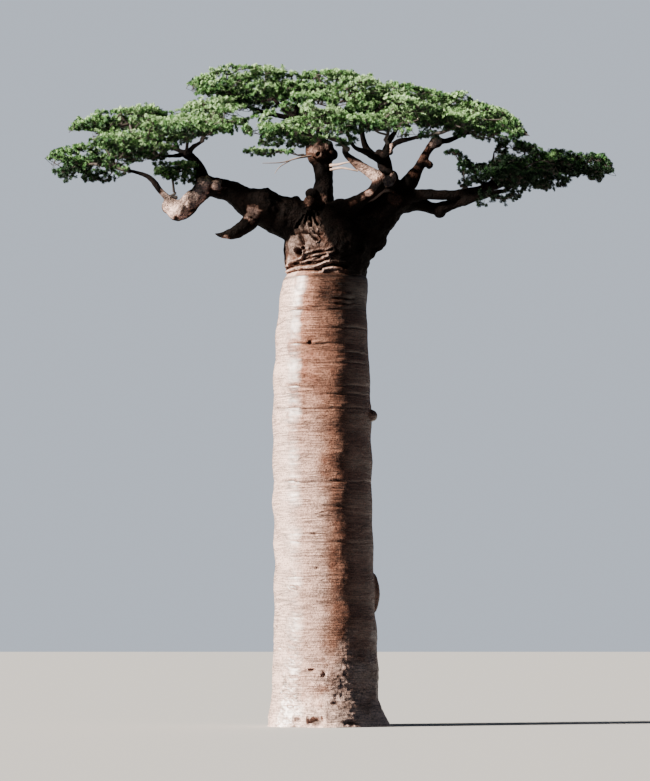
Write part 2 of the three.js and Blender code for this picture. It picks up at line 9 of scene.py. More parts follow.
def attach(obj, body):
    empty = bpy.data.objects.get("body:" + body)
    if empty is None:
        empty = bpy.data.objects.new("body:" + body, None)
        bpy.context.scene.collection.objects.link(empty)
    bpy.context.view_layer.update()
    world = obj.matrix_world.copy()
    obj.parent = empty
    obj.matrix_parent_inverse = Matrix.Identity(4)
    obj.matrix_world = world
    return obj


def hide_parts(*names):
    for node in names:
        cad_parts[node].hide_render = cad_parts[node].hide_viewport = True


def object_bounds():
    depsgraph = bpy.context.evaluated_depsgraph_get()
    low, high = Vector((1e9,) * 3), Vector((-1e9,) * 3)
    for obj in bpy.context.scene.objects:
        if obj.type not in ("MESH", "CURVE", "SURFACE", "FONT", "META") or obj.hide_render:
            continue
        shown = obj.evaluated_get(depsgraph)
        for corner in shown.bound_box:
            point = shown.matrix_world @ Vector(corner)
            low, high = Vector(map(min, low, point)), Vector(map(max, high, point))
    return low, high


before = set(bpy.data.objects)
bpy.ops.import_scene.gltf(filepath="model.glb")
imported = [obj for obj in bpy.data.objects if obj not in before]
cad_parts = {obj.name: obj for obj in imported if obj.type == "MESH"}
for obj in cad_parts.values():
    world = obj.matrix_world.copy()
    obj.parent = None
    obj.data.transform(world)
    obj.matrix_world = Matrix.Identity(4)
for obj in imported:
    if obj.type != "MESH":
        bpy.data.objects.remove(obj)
cad_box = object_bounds()
bpy.ops.object.select_all(action="DESELECT")

GOLDEN_SHARE = (math.sqrt(5) - 1) / 2
GOLDEN_ANGLE = math.pi * (3 - math.sqrt(5))
FULL_TURN = 6.28
UP = np.array((0.0, 0.0, 1.0))

# Trunk: height, radius and sideways shift of the centre, from the ground to the fork, in metres.
TRUNK_GIRTHS = [
    (0, 1.56, 0), (0.7, 1.46, -0.05), (2.2, 1.4, -0.04), (4.4, 1.345, -0.07), (6.2, 1.34, -0.12),
    (8.1, 1.34, -0.12), (9.3, 1.315, -0.13), (10.6, 1.25, -0.14), (11.6, 1.19, -0.09),
    (12.3, 1.13, -0.02), (12.6, 1.17, 0), (13.1, 1.19, 0.04), (13.5, 1.01, 0.07), (13.85, 0.66, 0.06),
    (14, 0.3, 0),
]

TRUNK_FOLD_DEPTH = 0.012
TRUNK_FOLD_PITCH = 1.15
FLARE_REACH = 0.1
FLARE_HEIGHT = 0.5
FLARE_LOBES = 5
FLARE_TURN = 0.5
NECK_SEAM = 12.16
NECK_TOP = 14.02
MIDDLE_RADIUS = 1.35

# Burls on the trunk: height, bearing in degrees from +x, how far they stand out, and half their height.
BURLS = [(8.4, -8, 0.13, 0.15), (3.6, 4, 0.1, 0.5)]

# Boughs: points along each one with its radius there, from the carrying end to the tip.
BOUGHS = {
    "left_bough": [
        (-0.41, 0, 13.75, 0.52), (-1.14, -0.1, 13.86, 0.6), (-1.78, -0.15, 14.1, 0.53),
        (-2.2, -0.2, 14.35, 0.43), (-2.7, -0.25, 14.57, 0.32), (-3.3, -0.3, 14.69, 0.27),
    ],
    "left_stub": [
        (-1.95, -0.35, 13.93, 0.25), (-2.09, -0.55, 13.63, 0.24), (-2.34, -0.7, 13.43, 0.2),
        (-2.62, -0.8, 13.31, 0.155), (-2.9, -0.88, 13.25, 0.09), (-3.07, -0.92, 13.3, 0.03),
    ],
    "left_elbow": [
        (-3.34, -0.3, 14.62, 0.27), (-3.62, -0.3, 14.3, 0.29), (-3.91, -0.35, 14.04, 0.28),
        (-4.23, -0.4, 14.12, 0.24), (-4.41, -0.4, 14.26, 0.18),
    ],
    "left_low_bough": [
        (-4.25, -0.4, 14.24, 0.13), (-4.5, -0.4, 14.5, 0.1), (-4.85, -0.3, 14.93, 0.087),
        (-5.4, -0.2, 15.12, 0.07),
    ],
    "left_riser": [
        (-3.34, -0.3, 14.74, 0.23), (-3.47, -0.2, 15.1, 0.18), (-3.66, -0.1, 15.41, 0.145),
        (-3.9, 0, 15.62, 0.13),
    ],
    "left_mid_bough": [(-3.86, 0, 15.6, 0.1), (-4.23, -0.45, 15.47, 0.082), (-4.6, -0.9, 15.44, 0.065)],
    "left_top_bough": [(-3.86, 0, 15.62, 0.1), (-4.3, 0.3, 15.83, 0.08), (-4.95, 0.45, 16.12, 0.06)],
    "left_back_bough": [
        (-3.83, 0.05, 15.64, 0.09), (-3.86, 0.8, 16.05, 0.077), (-3.86, 1.4, 16.42, 0.06),
    ],
    "left_inner_bough": [
        (-3.83, -0.05, 15.61, 0.085), (-3.62, -0.2, 15.76, 0.07), (-3.4, -0.25, 15.9, 0.06),
    ],
    "left_front_bough": [
        (-3.83, -0.1, 15.58, 0.09), (-3.6, -1.2, 15.62, 0.075), (-3.35, -2.1, 15.62, 0.06),
    ],
    "centre_column": [
        (-0.13, 0, 13.72, 0.5), (-0.12, 0, 14.2, 0.35), (-0.1, 0, 14.93, 0.26),
        (-0.14, 0.05, 15.43, 0.275), (-0.28, 0.1, 15.78, 0.24),
    ],
    "column_top": [(-0.29, 0.1, 15.75, 0.2), (-0.6, 0.3, 16.22, 0.19), (-0.88, 0.4, 16.66, 0.15)],
    "top_left_bough": [(-0.88, 0.4, 16.62, 0.11), (-1.56, 0.3, 16.75, 0.088), (-2.2, 0.25, 16.95, 0.065)],
    "top_bough": [(-0.88, 0.4, 16.68, 0.11), (-0.85, 0.5, 16.9, 0.095), (-0.78, 0.55, 17.08, 0.08)],
    "back_left_bough": [(-0.88, 0.45, 16.68, 0.1), (-1.2, 1.5, 17.08, 0.085), (-1.5, 2.4, 17.5, 0.065)],
    "back_mid_bough": [(-0.27, 0.15, 15.78, 0.14), (-0.2, 1.6, 16.35, 0.115), (-0.3, 3.5, 17.05, 0.075)],
    "right_bough": [
        (0.45, 0, 12.8, 0.68), (1.03, 0, 13.45, 0.62), (1.54, 0, 14.02, 0.49), (1.8, 0, 14.3, 0.4),
    ],
    "arch_bough": [
        (0.1, -0.25, 13.95, 0.26), (0.66, -0.42, 14.12, 0.235), (1.17, -0.55, 14.39, 0.215),
        (1.42, -0.6, 14.7, 0.2), (1.46, -0.6, 14.92, 0.19),
    ],
    "pale_bough": [
        (1.46, -0.6, 14.84, 0.19), (1.23, -0.6, 15.0, 0.185), (0.93, -0.6, 15.17, 0.15),
        (0.7, -0.6, 15.34, 0.12), (0.53, -0.66, 15.49, 0.1), (0.5, -1.2, 15.58, 0.09),
        (0.56, -2.2, 15.4, 0.1),
    ],
    "right_riser": [
        (1.76, 0, 14.3, 0.33), (1.65, 0.1, 14.84, 0.262), (1.6, 0.2, 15.29, 0.218),
        (1.54, 0.25, 15.56, 0.19),
    ],
    "front_bough": [
        (1.5, 0.2, 15.42, 0.13), (1.12, -0.5, 15.56, 0.11), (0.7, -1.2, 15.66, 0.09),
        (0.5, -1.6, 16.1, 0.065),
    ],
    "fork_up": [
        (1.5, 0.28, 15.5, 0.12), (1.2, 0.35, 15.66, 0.11), (1.02, 0.3, 15.95, 0.105),
        (1.0, 0.1, 16.4, 0.085), (1.3, -0.15, 16.75, 0.068),
    ],
    "fork_right": [
        (1.57, 0.25, 15.6, 0.13), (1.85, 0, 15.88, 0.1), (2.3, -0.8, 15.9, 0.08),
        (2.85, -1.9, 15.84, 0.065),
    ],
    "fork_front": [(1.54, 0.15, 15.56, 0.12), (1.62, -1.2, 15.5, 0.1), (1.6, -2.75, 15.5, 0.07)],
    "fork_back": [(1.57, 0.3, 15.62, 0.12), (1.75, 1.3, 16.15, 0.1), (2.1, 3.1, 16.95, 0.07)],
    "right_diagonal": [
        (1.95, 0, 14.42, 0.26), (2.33, 0, 14.96, 0.2), (2.58, 0, 15.35, 0.158), (2.77, 0, 15.71, 0.14),
        (2.95, 0, 15.93, 0.13),
    ],
    "diagonal_right": [(2.97, 0, 15.92, 0.1), (3.4, 0.02, 16, 0.08), (3.75, 0.05, 16.18, 0.065)],
    "diagonal_back": [(2.95, 0.02, 15.94, 0.1), (3.4, 1.1, 16.12, 0.085), (3.95, 2.1, 16.5, 0.065)],
    "upper_limb": [
        (1.9, -0.1, 14.36, 0.25), (2.68, -0.2, 14.45, 0.16), (3.5, -0.3, 14.43, 0.153),
        (4.32, -0.3, 14.62, 0.136), (5.3, -0.35, 14.88, 0.1), (6, -0.3, 14.98, 0.075),
    ],
    "lower_limb": [
        (1.7, 0.1, 14.12, 0.33), (2.42, 0.15, 14.22, 0.215), (3.02, 0.1, 14.14, 0.195),
        (3.5, -0.1, 14.22, 0.165), (4.2, -0.6, 14.36, 0.12), (4.8, -1, 14.45, 0.075),
    ],
    "far_right_fork": [(4.3, -0.28, 14.64, 0.1), (4.55, -0.05, 14.85, 0.085), (4.75, 0.15, 15.05, 0.07)],
    "far_right_back_bough": [(4.15, -0.25, 14.6, 0.1), (4.55, 0.7, 14.85, 0.085), (5, 1.45, 15.1, 0.065)],
}

# Cushions of leaves: name, the bough it grows from, middle and half-size of its space, foot of its stem.
CUSHIONS = [
    ("left_low_leaves", "left_low_bough", (-6.3, 0, 15.42), (1.6, 1.6, 0.74), None),
    ("left_mid_leaves", "left_top_bough", (-5.85, 0.55, 16.5), (1.5, 1.5, 0.58), None),
    ("left_front_leaves", "left_mid_bough", (-4.95, -1.85, 15.7), (1.4, 1.4, 0.58), None),
    ("left_inner_leaves", "left_inner_bough", (-3.3, -0.2, 16.45), (1.35, 1.3, 0.64), None),
    ("left_back_leaves", "left_back_bough", (-4, 2.5, 16.8), (1.4, 1.45, 0.55), None),
    ("left_cluster", "left_elbow", (-4.16, -0.5, 15.02), (0.52, 0.55, 0.32), (-4.17, -0.4, 14.2)),
    ("column_wisp", "centre_column", (-1.45, -0.2, 15.62), (0.8, 0.62, 0.34), (-0.25, -0.1, 15.5)),
    ("top_left_leaves", "top_left_bough", (-2.6, 0.3, 17.5), (1.35, 1.5, 0.72), None),
    ("top_mid_leaves", "top_bough", (-0.45, 0.75, 17.55), (1.35, 1.5, 0.72), None),
    ("top_right_leaves", "fork_up", (1.75, 0, 17.13), (1.4, 1.55, 0.66), None),
    ("right_top_leaves", "diagonal_right", (4.15, 0.05, 16.7), (1.5, 1.5, 0.66), None),
    ("front_mid_leaves", "pale_bough", (-0.75, -3.85, 15.68), (1.45, 1.6, 0.6), None),
    ("front_right_leaves", "fork_front", (1.6, -4.1, 15.82), (1.4, 1.5, 0.6), None),
    ("front_far_right_leaves", "fork_right", (3.8, -2.9, 16.05), (1.45, 1.45, 0.6), None),
    ("front_left_leaves", "left_front_bough", (-3.15, -3.1, 15.85), (1.25, 1.4, 0.52), None),
    ("top_front_leaves", "front_bough", (0.35, -2.1, 16.75), (1.35, 1.2, 0.58), None),
    ("back_left_leaves", "back_left_bough", (-1.85, 3.55, 17.72), (1.35, 1.4, 0.5), None),
    ("back_mid_leaves", "back_mid_bough", (0.1, 4.9, 17.5), (1.35, 1.4, 0.5), None),
    ("back_right_leaves", "fork_back", (2.6, 4.2, 17.4), (1.45, 1.5, 0.52), None),
    ("back_far_right_leaves", "diagonal_back", (4.75, 2.9, 16.85), (1.35, 1.45, 0.52), None),
    ("far_right_upper_leaves", "far_right_fork", (4.9, 0.3, 15.45), (1.1, 1.05, 0.72), None),
    ("far_right_tip_leaves", "upper_limb", (6.85, -0.2, 15.2), (1.15, 1.25, 0.64), None),
    ("far_right_low_leaves", "lower_limb", (5.4, -1.4, 14.8), (1.3, 1, 0.58), None),
    ("far_right_back_leaves", "far_right_back_bough", (5.85, 2.35, 15.5), (1.2, 1.25, 0.52), None),
    ("right_wisp", "upper_limb", (3.72, -0.45, 15.27), (0.52, 0.55, 0.4), (3.75, -0.32, 14.5)),
]

# Lumps that fill the fork and stand on the boughs: a middle and a radius.
FORK_LUMPS = [
    ((-0.42, -0.22, 14.42), 0.2), ((-0.46, -0.42, 14.22), 0.2), ((0.36, -0.22, 14.08), 0.26),
    ((1.25, 0.0, 13.35), 0.42), ((1.4, 0.0, 13.14), 0.24), ((1.14, 0.0, 12.88), 0.2),
    ((2.05, -0.05, 14.32), 0.27), ((0.62, -0.2, 13.9), 0.34), ((-1.0, -0.15, 13.62), 0.42),
    ((-0.85, -0.1, 14.26), 0.2), ((-2.04, -0.35, 13.85), 0.26), ((-0.24, -0.02, 15.58), 0.31),
    ((-0.4, -0.05, 15.74), 0.2), ((0.0, 0.0, 15.76), 0.2), ((-0.24, 0.0, 15.86), 0.22),
    ((-0.42, -0.12, 15.62), 0.17), ((0.1, 0.0, 15.58), 0.2), ((1.68, -0.15, 14.9), 0.29),
    ((1.72, -0.2, 15.62), 0.1), ((1.78, -0.22, 15.8), 0.08), ((2.8, -0.05, 15.3), 0.12),
    ((3.0, -0.05, 15.92), 0.18), ((-3.32, -0.35, 14.72), 0.27), ((-3.0, -0.4, 14.68), 0.22),
    ((-4.06, -0.38, 13.98), 0.3), ((-4.31, -0.35, 14.1), 0.2), ((3.1, 0.05, 14.03), 0.19),
    ((1.5, 0.0, 13.52), 0.28), ((1.44, -0.05, 15.6), 0.13),
]

# Places where the dark bark gives way, as pale bark and painted sunlight: a middle, a radius, how pale it
# is there and how rubbed and sunlit.
PALE_PATCHES = [
    ((-4.42, -0.6, 14.2), 0.3, 1.0, 0.9),
    ((-4.2, -0.65, 14.0), 0.3, 1.0, 0.9),
    ((-3.88, -0.65, 14.0), 0.36, 1.0, 0.95),
    ((-3.62, -0.6, 14.3), 0.38, 1.0, 0.95),
    ((-3.42, -0.65, 14.6), 0.3, 1.0, 0.85),
    ((-3.25, -0.65, 14.85), 0.16, 0.7, 0.3),
    ((-2.98, -0.65, 14.68), 0.22, 1.0, 0.75),
    ((-2.04, -0.75, 13.9), 0.22, 0.9, 0.6),
    ((-2.04, -0.8, 13.68), 0.1, 0.5, 0.2),
    ((-2.75, -0.95, 13.1), 0.12, 0.9, 0.8),
    ((-0.86, -0.85, 13.86), 0.14, 0.4, 0.1),
    ((-0.3, -0.35, 15.58), 0.3, 0.24, 0.0),
    ((-0.42, -0.35, 15.7), 0.12, 0.6, 0.3),
    ((-0.15, -0.3, 14.3), 0.16, 0.3, 0.05),
    ((-0.5, -0.6, 14.25), 0.12, 0.5, 0.15),
    ((0.7, -0.75, 14.2), 0.14, 0.3, 0.05),
    ((0.98, -0.75, 14.28), 0.08, 0.6, 0.3),
    ((1.16, -0.8, 14.38), 0.12, 0.9, 0.5),
    ((1.8, -0.4, 14.66), 0.1, 0.7, 0.5),
    ((1.84, -0.4, 14.35), 0.2, 0.45, 0.0),
    ((1.74, -0.3, 15.68), 0.16, 0.9, 0.7),
    ((2.98, -0.2, 15.92), 0.2, 1.0, 0.8),
    ((2.7, -0.2, 15.5), 0.26, 0.35, 0.05),
    ((2.4, -0.2, 15.1), 0.2, 0.2, 0.0),
    ((-0.4, 1.0, 13.6), 0.5, 0.9, 0.4),
    ((2.2, 0.3, 14.9), 0.3, 0.8, 0.4),
    ((-3.6, 0.4, 14.6), 0.4, 0.9, 0.6),
]

# Dry twigs without leaves beside the head of the column: points with a radius at each.
DRY_TWIGS = [
    [
        (-0.42, -0.3, 15.5, 0.035), (-0.8, -0.55, 15.4, 0.026), (-1.2, -0.6, 15.28, 0.018),
        (-1.75, -0.7, 15.24, 0.008),
    ],
    [(-0.95, -0.56, 15.36, 0.018), (-1.3, -0.5, 15.15, 0.012), (-1.42, -0.5, 14.98, 0.006)],
    [
        (0.1, -0.2, 15.25, 0.045), (0.3, -0.4, 15.24, 0.038), (0.5, -0.55, 15.27, 0.026),
        (0.72, -0.65, 15.29, 0.02),
    ],
    [
        (0.1, -0.2, 15.13, 0.04), (0.4, -0.48, 15.14, 0.036), (0.62, -0.58, 15.09, 0.03),
        (0.85, -0.6, 15.04, 0.03),
    ],
]

# Where the camera stands, how far it looks up, its lens, and the plane across the front of the trunk
# on which lines and gaps are read. The sun stands to the left and in front.
VIEWPOINT = (-0.05, -90.0, 2.4)
CAMERA_TILT = 4.257
CAMERA_LENS = 152.67
FRONT_PLANE = -1.0
SUN_FROM = (-0.85, -0.37, 0.42)

# The lines that the leaves keep to as seen from the front: x with the lowest and the highest leaf above it.
LEFT_LINES = [
    (-7.75, 15.35, 15.42), (-7.6, 15.25, 15.58), (-7.43, 14.74, 15.78), (-7.35, 14.7, 15.8),
    (-7.1, 14.72, 16.1), (-6.85, 14.74, 16.4), (-6.67, 14.7, 16.7), (-6.5, 14.62, 16.8),
    (-6.32, 14.74, 16.84), (-6.15, 14.7, 16.79), (-6.0, 14.45, 16.74), (-5.85, 14.66, 16.76),
    (-5.6, 14.85, 16.8), (-5.36, 14.97, 16.82), (-4.9, 15.15, 16.98), (-4.7, 15.25, 17.0),
    (-4.56, 15.3, 16.92), (-4.4, 15.4, 16.74), (-4.1, 15.54, 16.76), (-3.9, 15.64, 16.88),
    (-3.6, 15.78, 17.15), (-3.2, 15.88, 17.4), (-2.7, 15.98, 17.4), (-2.4, 16.0, 17.2),
    (-1.9, 16.02, 17.0),
]
TOP_LINES = [
    (-4.6, 15.6, 16.9), (-3.95, 15.8, 17.0), (-3.8, 15.85, 17.5), (-3.6, 15.9, 17.75),
    (-3.4, 15.96, 17.96), (-2.7, 15.98, 18.04), (-2.4, 16.02, 18.0), (-2.1, 16.04, 17.99),
    (-2.0, 15.74, 17.99), (-1.6, 15.68, 18.0), (-1.35, 15.64, 18.1), (-1.2, 15.62, 18.02),
    (-0.9, 15.6, 17.92), (-0.3, 15.62, 17.86), (0.15, 15.64, 17.86), (0.6, 15.64, 17.82),
    (0.8, 15.64, 17.84), (0.95, 15.72, 17.88), (1.15, 15.9, 17.86), (1.3, 16.0, 17.78),
    (1.5, 16.03, 17.6), (1.85, 15.94, 17.56), (2.5, 15.92, 17.37), (2.95, 15.94, 17.3),
    (3.5, 15.9, 17.28), (3.72, 15.88, 17.34), (3.95, 15.86, 17.24), (4.08, 15.86, 16.98),
    (4.8, 15.84, 16.77), (5.2, 15.88, 16.48), (5.34, 15.96, 16.3), (5.42, 16.15, 16.15),
    (6.2, 16.2, 16.2),
]
FAR_RIGHT_LINES = [
    (3.1, 15.6, 15.6), (3.24, 15.44, 15.64), (3.5, 15.42, 15.7), (3.56, 14.66, 15.72),
    (3.75, 14.6, 15.55), (3.88, 14.5, 15.34), (3.98, 14.2, 15.28), (4.05, 14.04, 15.26),
    (4.35, 14.02, 15.28), (4.48, 14.1, 15.4), (4.62, 14.1, 15.84), (4.8, 14.1, 15.96),
    (5.1, 14.15, 16.0), (5.35, 14.36, 15.92), (5.6, 14.4, 15.82), (5.78, 14.38, 15.74),
    (6.14, 14.42, 15.72), (6.4, 14.55, 15.72), (6.55, 14.68, 15.72), (6.75, 14.84, 15.66),
    (7.0, 14.84, 15.6), (7.15, 14.74, 15.6), (7.42, 14.74, 15.62), (7.52, 14.84, 15.56),
    (7.64, 14.86, 15.4), (7.74, 14.9, 15.2), (7.8, 14.95, 15.05),
]
CLUSTER_LINES = [(-5.0, 14.6, 15.36), (-3.0, 14.6, 15.36)]
WISP_LINES = [
    (-2.4, 15.26, 15.72), (-1.9, 15.26, 15.72), (-1.5, 15.36, 15.74), (-0.95, 15.5, 15.7),
    (-0.8, 15.7, 15.7),
]
LINES = {
    "left_low_leaves": LEFT_LINES,
    "left_mid_leaves": LEFT_LINES,
    "left_front_leaves": LEFT_LINES,
    "left_back_leaves": LEFT_LINES,
    "left_inner_leaves": LEFT_LINES,
    "left_cluster": CLUSTER_LINES,
    "column_wisp": WISP_LINES,
    "far_right_upper_leaves": FAR_RIGHT_LINES,
    "far_right_tip_leaves": FAR_RIGHT_LINES,
    "far_right_low_leaves": FAR_RIGHT_LINES,
    "far_right_back_leaves": FAR_RIGHT_LINES,
    "right_wisp": FAR_RIGHT_LINES,
}

# Gaps where the sky shows through the crown, as seen from the front: x, height, half-width and half-height.
SKY_GAPS = [
    (-2.27, 16.57, 0.22, 0.09), (-2.0, 16.3, 0.08, 0.1), (-1.92, 15.98, 0.07, 0.16),
    (-2.69, 16.5, 0.09, 0.06), (-1.32, 16.36, 0.03, 0.02), (-3.74, 17.2, 0.16, 0.09),
    (-0.16, 16.8, 0.13, 0.08), (0.43, 16.84, 0.08, 0.09), (1.4, 15.82, 0.25, 0.24),
    (1.93, 15.98, 0.04, 0.06), (2.36, 16.02, 0.1, 0.04), (-6.8, 15.98, 0.62, 0.08),
    (-7.42, 15.17, 0.26, 0.07), (-5.12, 15.1, 0.15, 0.1), (-4.83, 15.0, 0.1, 0.18),
    (3.3, 15.3, 0.2, 0.08), (4.44, 15.44, 0.14, 0.1), (5.0, 15.72, 0.05, 0.04),
]

# Long creases round the trunk: height, bearing of the middle from the front, half its arc, and depth.
TRUNK_CREASES = [
    (11.54, 27, 16, 0.06), (11.4, 27, 13, 0.05), (11.33, -8, 12, 0.03), (11.24, -10, 60, 0.022),
    (10.75, 30, 40, 0.03), (10.32, -10, 38, 0.024), (10.07, 45, 30, 0.03), (9.79, 25, 45, 0.026),
    (9.16, 0, 75, 0.02), (8.95, 30, 50, 0.026), (8.56, 0, 80, 0.022), (6.57, -10, 95, 0.03),
    (5.9, 20, 40, 0.014), (4.95, 10, 60, 0.014), (4.05, -15, 40, 0.016), (11.4, 170, 60, 0.03),
    (10.1, 200, 50, 0.024), (8.8, 150, 70, 0.024), (7.3, 190, 60, 0.02), (6.0, 160, 50, 0.02),
    (4.6, 210, 60, 0.018),
]

# Scars, slits and hollows in the trunk: height, bearing from the front, half-width, half-height and depth.
TRUNK_MARKS = [
    (5.15, -11, 0.07, 0.035, 0.05), (4.24, -8, 0.06, 0.03, 0.04), (10.3, -14, 0.07, 0.05, 0.06),
    (3.74, -38, 0.12, 0.03, 0.03), (3.68, -34, 0.1, 0.03, 0.03), (1.52, -15, 0.09, 0.045, 0.09),
    (1.4, -1, 0.05, 0.09, 0.05), (1.17, -48, 0.05, 0.12, 0.05), (0.86, -47, 0.09, 0.03, 0.03),
    (0.55, -38, 0.1, 0.03, 0.03), (0.14, -11, 0.17, 0.11, 0.16), (0.62, 10, 0.12, 0.05, 0.05),
    (0.2, -30, 0.1, 0.06, 0.07), (0.12, 25, 0.2, 0.07, 0.07), (2.1, -60, 0.06, 0.05, 0.04),
    (1.9, 150, 0.08, 0.06, 0.06), (5.6, 200, 0.07, 0.05, 0.06), (9.5, 165, 0.08, 0.05, 0.05),
    (0.16, 170, 0.2, 0.12, 0.12), (7.6, 110, 0.06, 0.05, 0.05),
]

# Knots and burrows in the neck and boughs: middle, radius and depth. A negative depth stands out.
NECK_MARKS = [
    ((-0.74, -0.9, 12.77), 0.1, 0.22), ((-0.62, -1.0, 12.88), 0.045, 0.1),
    ((-0.42, -1.05, 13.39), 0.07, 0.13), ((-0.33, -1.08, 13.39), 0.07, 0.13),
    ((-0.69, -0.85, 13.48), 0.06, 0.07), ((-0.23, -0.36, 15.54), 0.06, 0.14),
    ((-0.9, -0.8, 13.02), 0.24, -0.14), ((-1.02, -0.55, 12.6), 0.14, -0.06),
    ((-0.5, -1.05, 12.92), 0.1, -0.06), ((-0.45, -1.05, 13.1), 0.18, -0.05),
    ((0.9, -0.9, 13.0), 0.2, 0.1), ((1.5, -0.5, 13.4), 0.18, -0.09), ((0.1, 1.15, 13.0), 0.2, 0.14),
    ((-0.9, 0.8, 13.2), 0.2, -0.08),
]

# Folds across the neck: points as x and height seen from the front, depth, and half-width.
NECK_FOLDS = [
    ([(-1.12, 12.16), (-0.76, 12.25), (-0.42, 12.28), (-0.15, 12.3)], 0.07, 0.035),
    ([(-1.12, 12.3), (-0.86, 12.42), (-0.64, 12.44), (-0.39, 12.46), (-0.14, 12.53), (0.02, 12.6)],
     0.07, 0.03),
    ([(-0.9, 12.46), (-0.64, 12.55), (-0.47, 12.62), (-0.2, 12.66), (-0.02, 12.72)], 0.06, 0.03),
    ([(-0.62, 12.62), (-0.5, 12.69), (-0.3, 12.76), (-0.03, 12.79), (0.15, 12.85)], 0.06, 0.03),
    ([(-0.5, 12.5), (-0.3, 12.58), (-0.12, 12.62)], 0.05, 0.025),
    ([(-0.25, 12.28), (-0.05, 12.4), (0.15, 12.45), (0.5, 12.4)], 0.06, 0.04),
    ([(-0.9, 13.24), (-0.74, 13.3), (-0.57, 13.34), (-0.39, 13.22), (-0.25, 13.12)], 0.06, 0.03),
    ([(-0.42, 13.28), (-0.28, 13.28), (-0.12, 13.26)], 0.06, 0.025),
    ([(-0.72, 13.26), (-0.66, 13.12), (-0.6, 12.98)], 0.04, 0.025),
    ([(-0.5, 13.84), (-0.58, 13.7), (-0.57, 13.55), (-0.62, 13.42)], 0.06, 0.028),
    ([(-0.42, 13.84), (-0.44, 13.7), (-0.4, 13.58), (-0.42, 13.48)], 0.06, 0.028),
    ([(-0.35, 13.8), (-0.3, 13.64), (-0.24, 13.52)], 0.06, 0.028),
    ([(-0.6, 13.78), (-0.72, 13.62), (-0.8, 13.44)], 0.05, 0.028),
]


def lattice(cells, seed):
    """A number from -1 to 1 for every whole-number cell, the same on each run."""
    word = (cells[:, 0] * 73856093) ^ (cells[:, 1] * 19349663) ^ (cells[:, 2] * 83492791)
    word = (word ^ (seed * 2654435761)) & 0xFFFFFFFF
    word = ((word ^ (word >> 15)) * 2246822519) & 0xFFFFFFFF
    word = ((word ^ (word >> 13)) * 3266489917) & 0xFFFFFFFF
    word = word ^ (word >> 16)
    return word / 2147483647.5 - 1.0


def lumps(points, size, seed=0):
    """Smooth lumps of about this size, from -1 to 1. size is one length, or one for each axis."""
    scaled = np.asarray(points, float) / np.asarray(size, float)
    cells = np.floor(scaled).astype(np.int64)
    part = scaled - cells
    part = part * part * (3 - 2 * part)
    total = np.zeros(len(scaled))
    for corner in range(8):
        step = np.array((corner & 1, (corner >> 1) & 1, corner >> 2))
        weight = np.prod(np.where(step == 1, part, 1 - part), axis=1)
        total += weight * lattice(cells + step, seed)
    return total


def progress(value, start, end):
    """How far a value has come from start, 0, to end, 1. It may lie beyond them."""
    return (value - start) / (end - start)


def held(values):
    return np.clip(values, 0, 1)


def girth(height, column):
    """The trunk's radius (1) or sideways shift (2) at a height."""
    table = np.array(TRUNK_GIRTHS, float)
    return np.interp(height, table[:, 0], table[:, column])


def trunk_radius(height, bearing):
    """The trunk's radius with its folds and the lobes of the root flare, as in the source."""
    lobes = 0.5 + 0.5 * np.cos(FLARE_LOBES * bearing + FLARE_TURN)
    flare = FLARE_REACH * lobes * np.exp(-height / FLARE_HEIGHT)
    folds = TRUNK_FOLD_DEPTH * np.sin(2 * math.pi * height / TRUNK_FOLD_PITCH + np.sin(2 * bearing))
    return girth(height, 1) * (1 + folds) + flare


def smooth_path(points, step):
    """A smooth curve through the given points, with the radius eased from one to the next."""
    given = np.array(points, float)
    line = np.vstack([2 * given[0] - given[1], given, 2 * given[-1] - given[-2]])
    made = []
    for i in range(1, len(line) - 2):
        a, b, c, d = line[i - 1 : i + 3, :3]
        before, here, after = (np.sqrt(np.linalg.norm(q - p)) for p, q in ((a, b), (b, c), (c, d)))
        leave = ((b - a) / before - (c - a) / (before + here) + (c - b) / here) * here
        arrive = ((c - b) / here - (d - b) / (here + after) + (d - c) / after) * here
        count = max(2, int(np.linalg.norm(c - b) / step))
        for s in np.arange(count) / count:
            place = (2 * s**3 - 3 * s**2 + 1) * b + (s**3 - 2 * s**2 + s) * leave
            place = place + (3 * s**2 - 2 * s**3) * c + (s**3 - s**2) * arrive
            made.append((*place, line[i, 3] + s * (line[i + 1, 3] - line[i, 3])))
    made.append(tuple(given[-1]))
    return np.array(made)


def mesh_from(name, corners, faces, slots=None, tints=()):
    """A piece from arrays of corners and of faces with the same number of sides."""
    mesh = bpy.data.meshes.new(name)
    sides = faces.shape[1]
    mesh.vertices.add(len(corners))
    mesh.vertices.foreach_set("co", np.asarray(corners, np.float32).ravel())
    mesh.loops.add(faces.size)
    mesh.loops.foreach_set("vertex_index", faces.astype(np.int32).ravel())
    mesh.polygons.add(len(faces))
    mesh.polygons.foreach_set("loop_start", np.arange(0, faces.size, sides, dtype=np.int32))
    for tint in tints:
        mesh.materials.append(tint)
    if slots is not None:
        mesh.polygons.foreach_set("material_index", slots.astype(np.int32))
    mesh.update(calc_edges=True)
    piece = bpy.data.objects.new(name, mesh)
    bpy.context.scene.collection.objects.link(piece)
    return piece


def select_only(*objects):
    bpy.ops.object.select_all(action="DESELECT")
    for piece in objects:
        piece.select_set(True)
    bpy.context.view_layer.objects.active = objects[0]


def corners_of(piece):
    flat = np.empty(len(piece.data.vertices) * 3, np.float32)
    piece.data.vertices.foreach_get("co", flat)
    return flat.reshape(-1, 3).astype(float)


def normals_of(piece):
    flat = np.empty(len(piece.data.vertices) * 3, np.float32)
    piece.data.vertex_normals.foreach_get("vector", flat)
    return flat.reshape(-1, 3).astype(float)


def set_corners(piece, corners):
    piece.data.vertices.foreach_set("co", np.asarray(corners, np.float32).ravel())
    piece.data.update()


def apply_modifier(piece, kind, **settings):
    modifier = piece.modifiers.new(kind.title(), kind)
    for key, value in settings.items():
        setattr(modifier, key, value)
    select_only(piece)
    bpy.ops.object.modifier_apply(modifier=modifier.name)
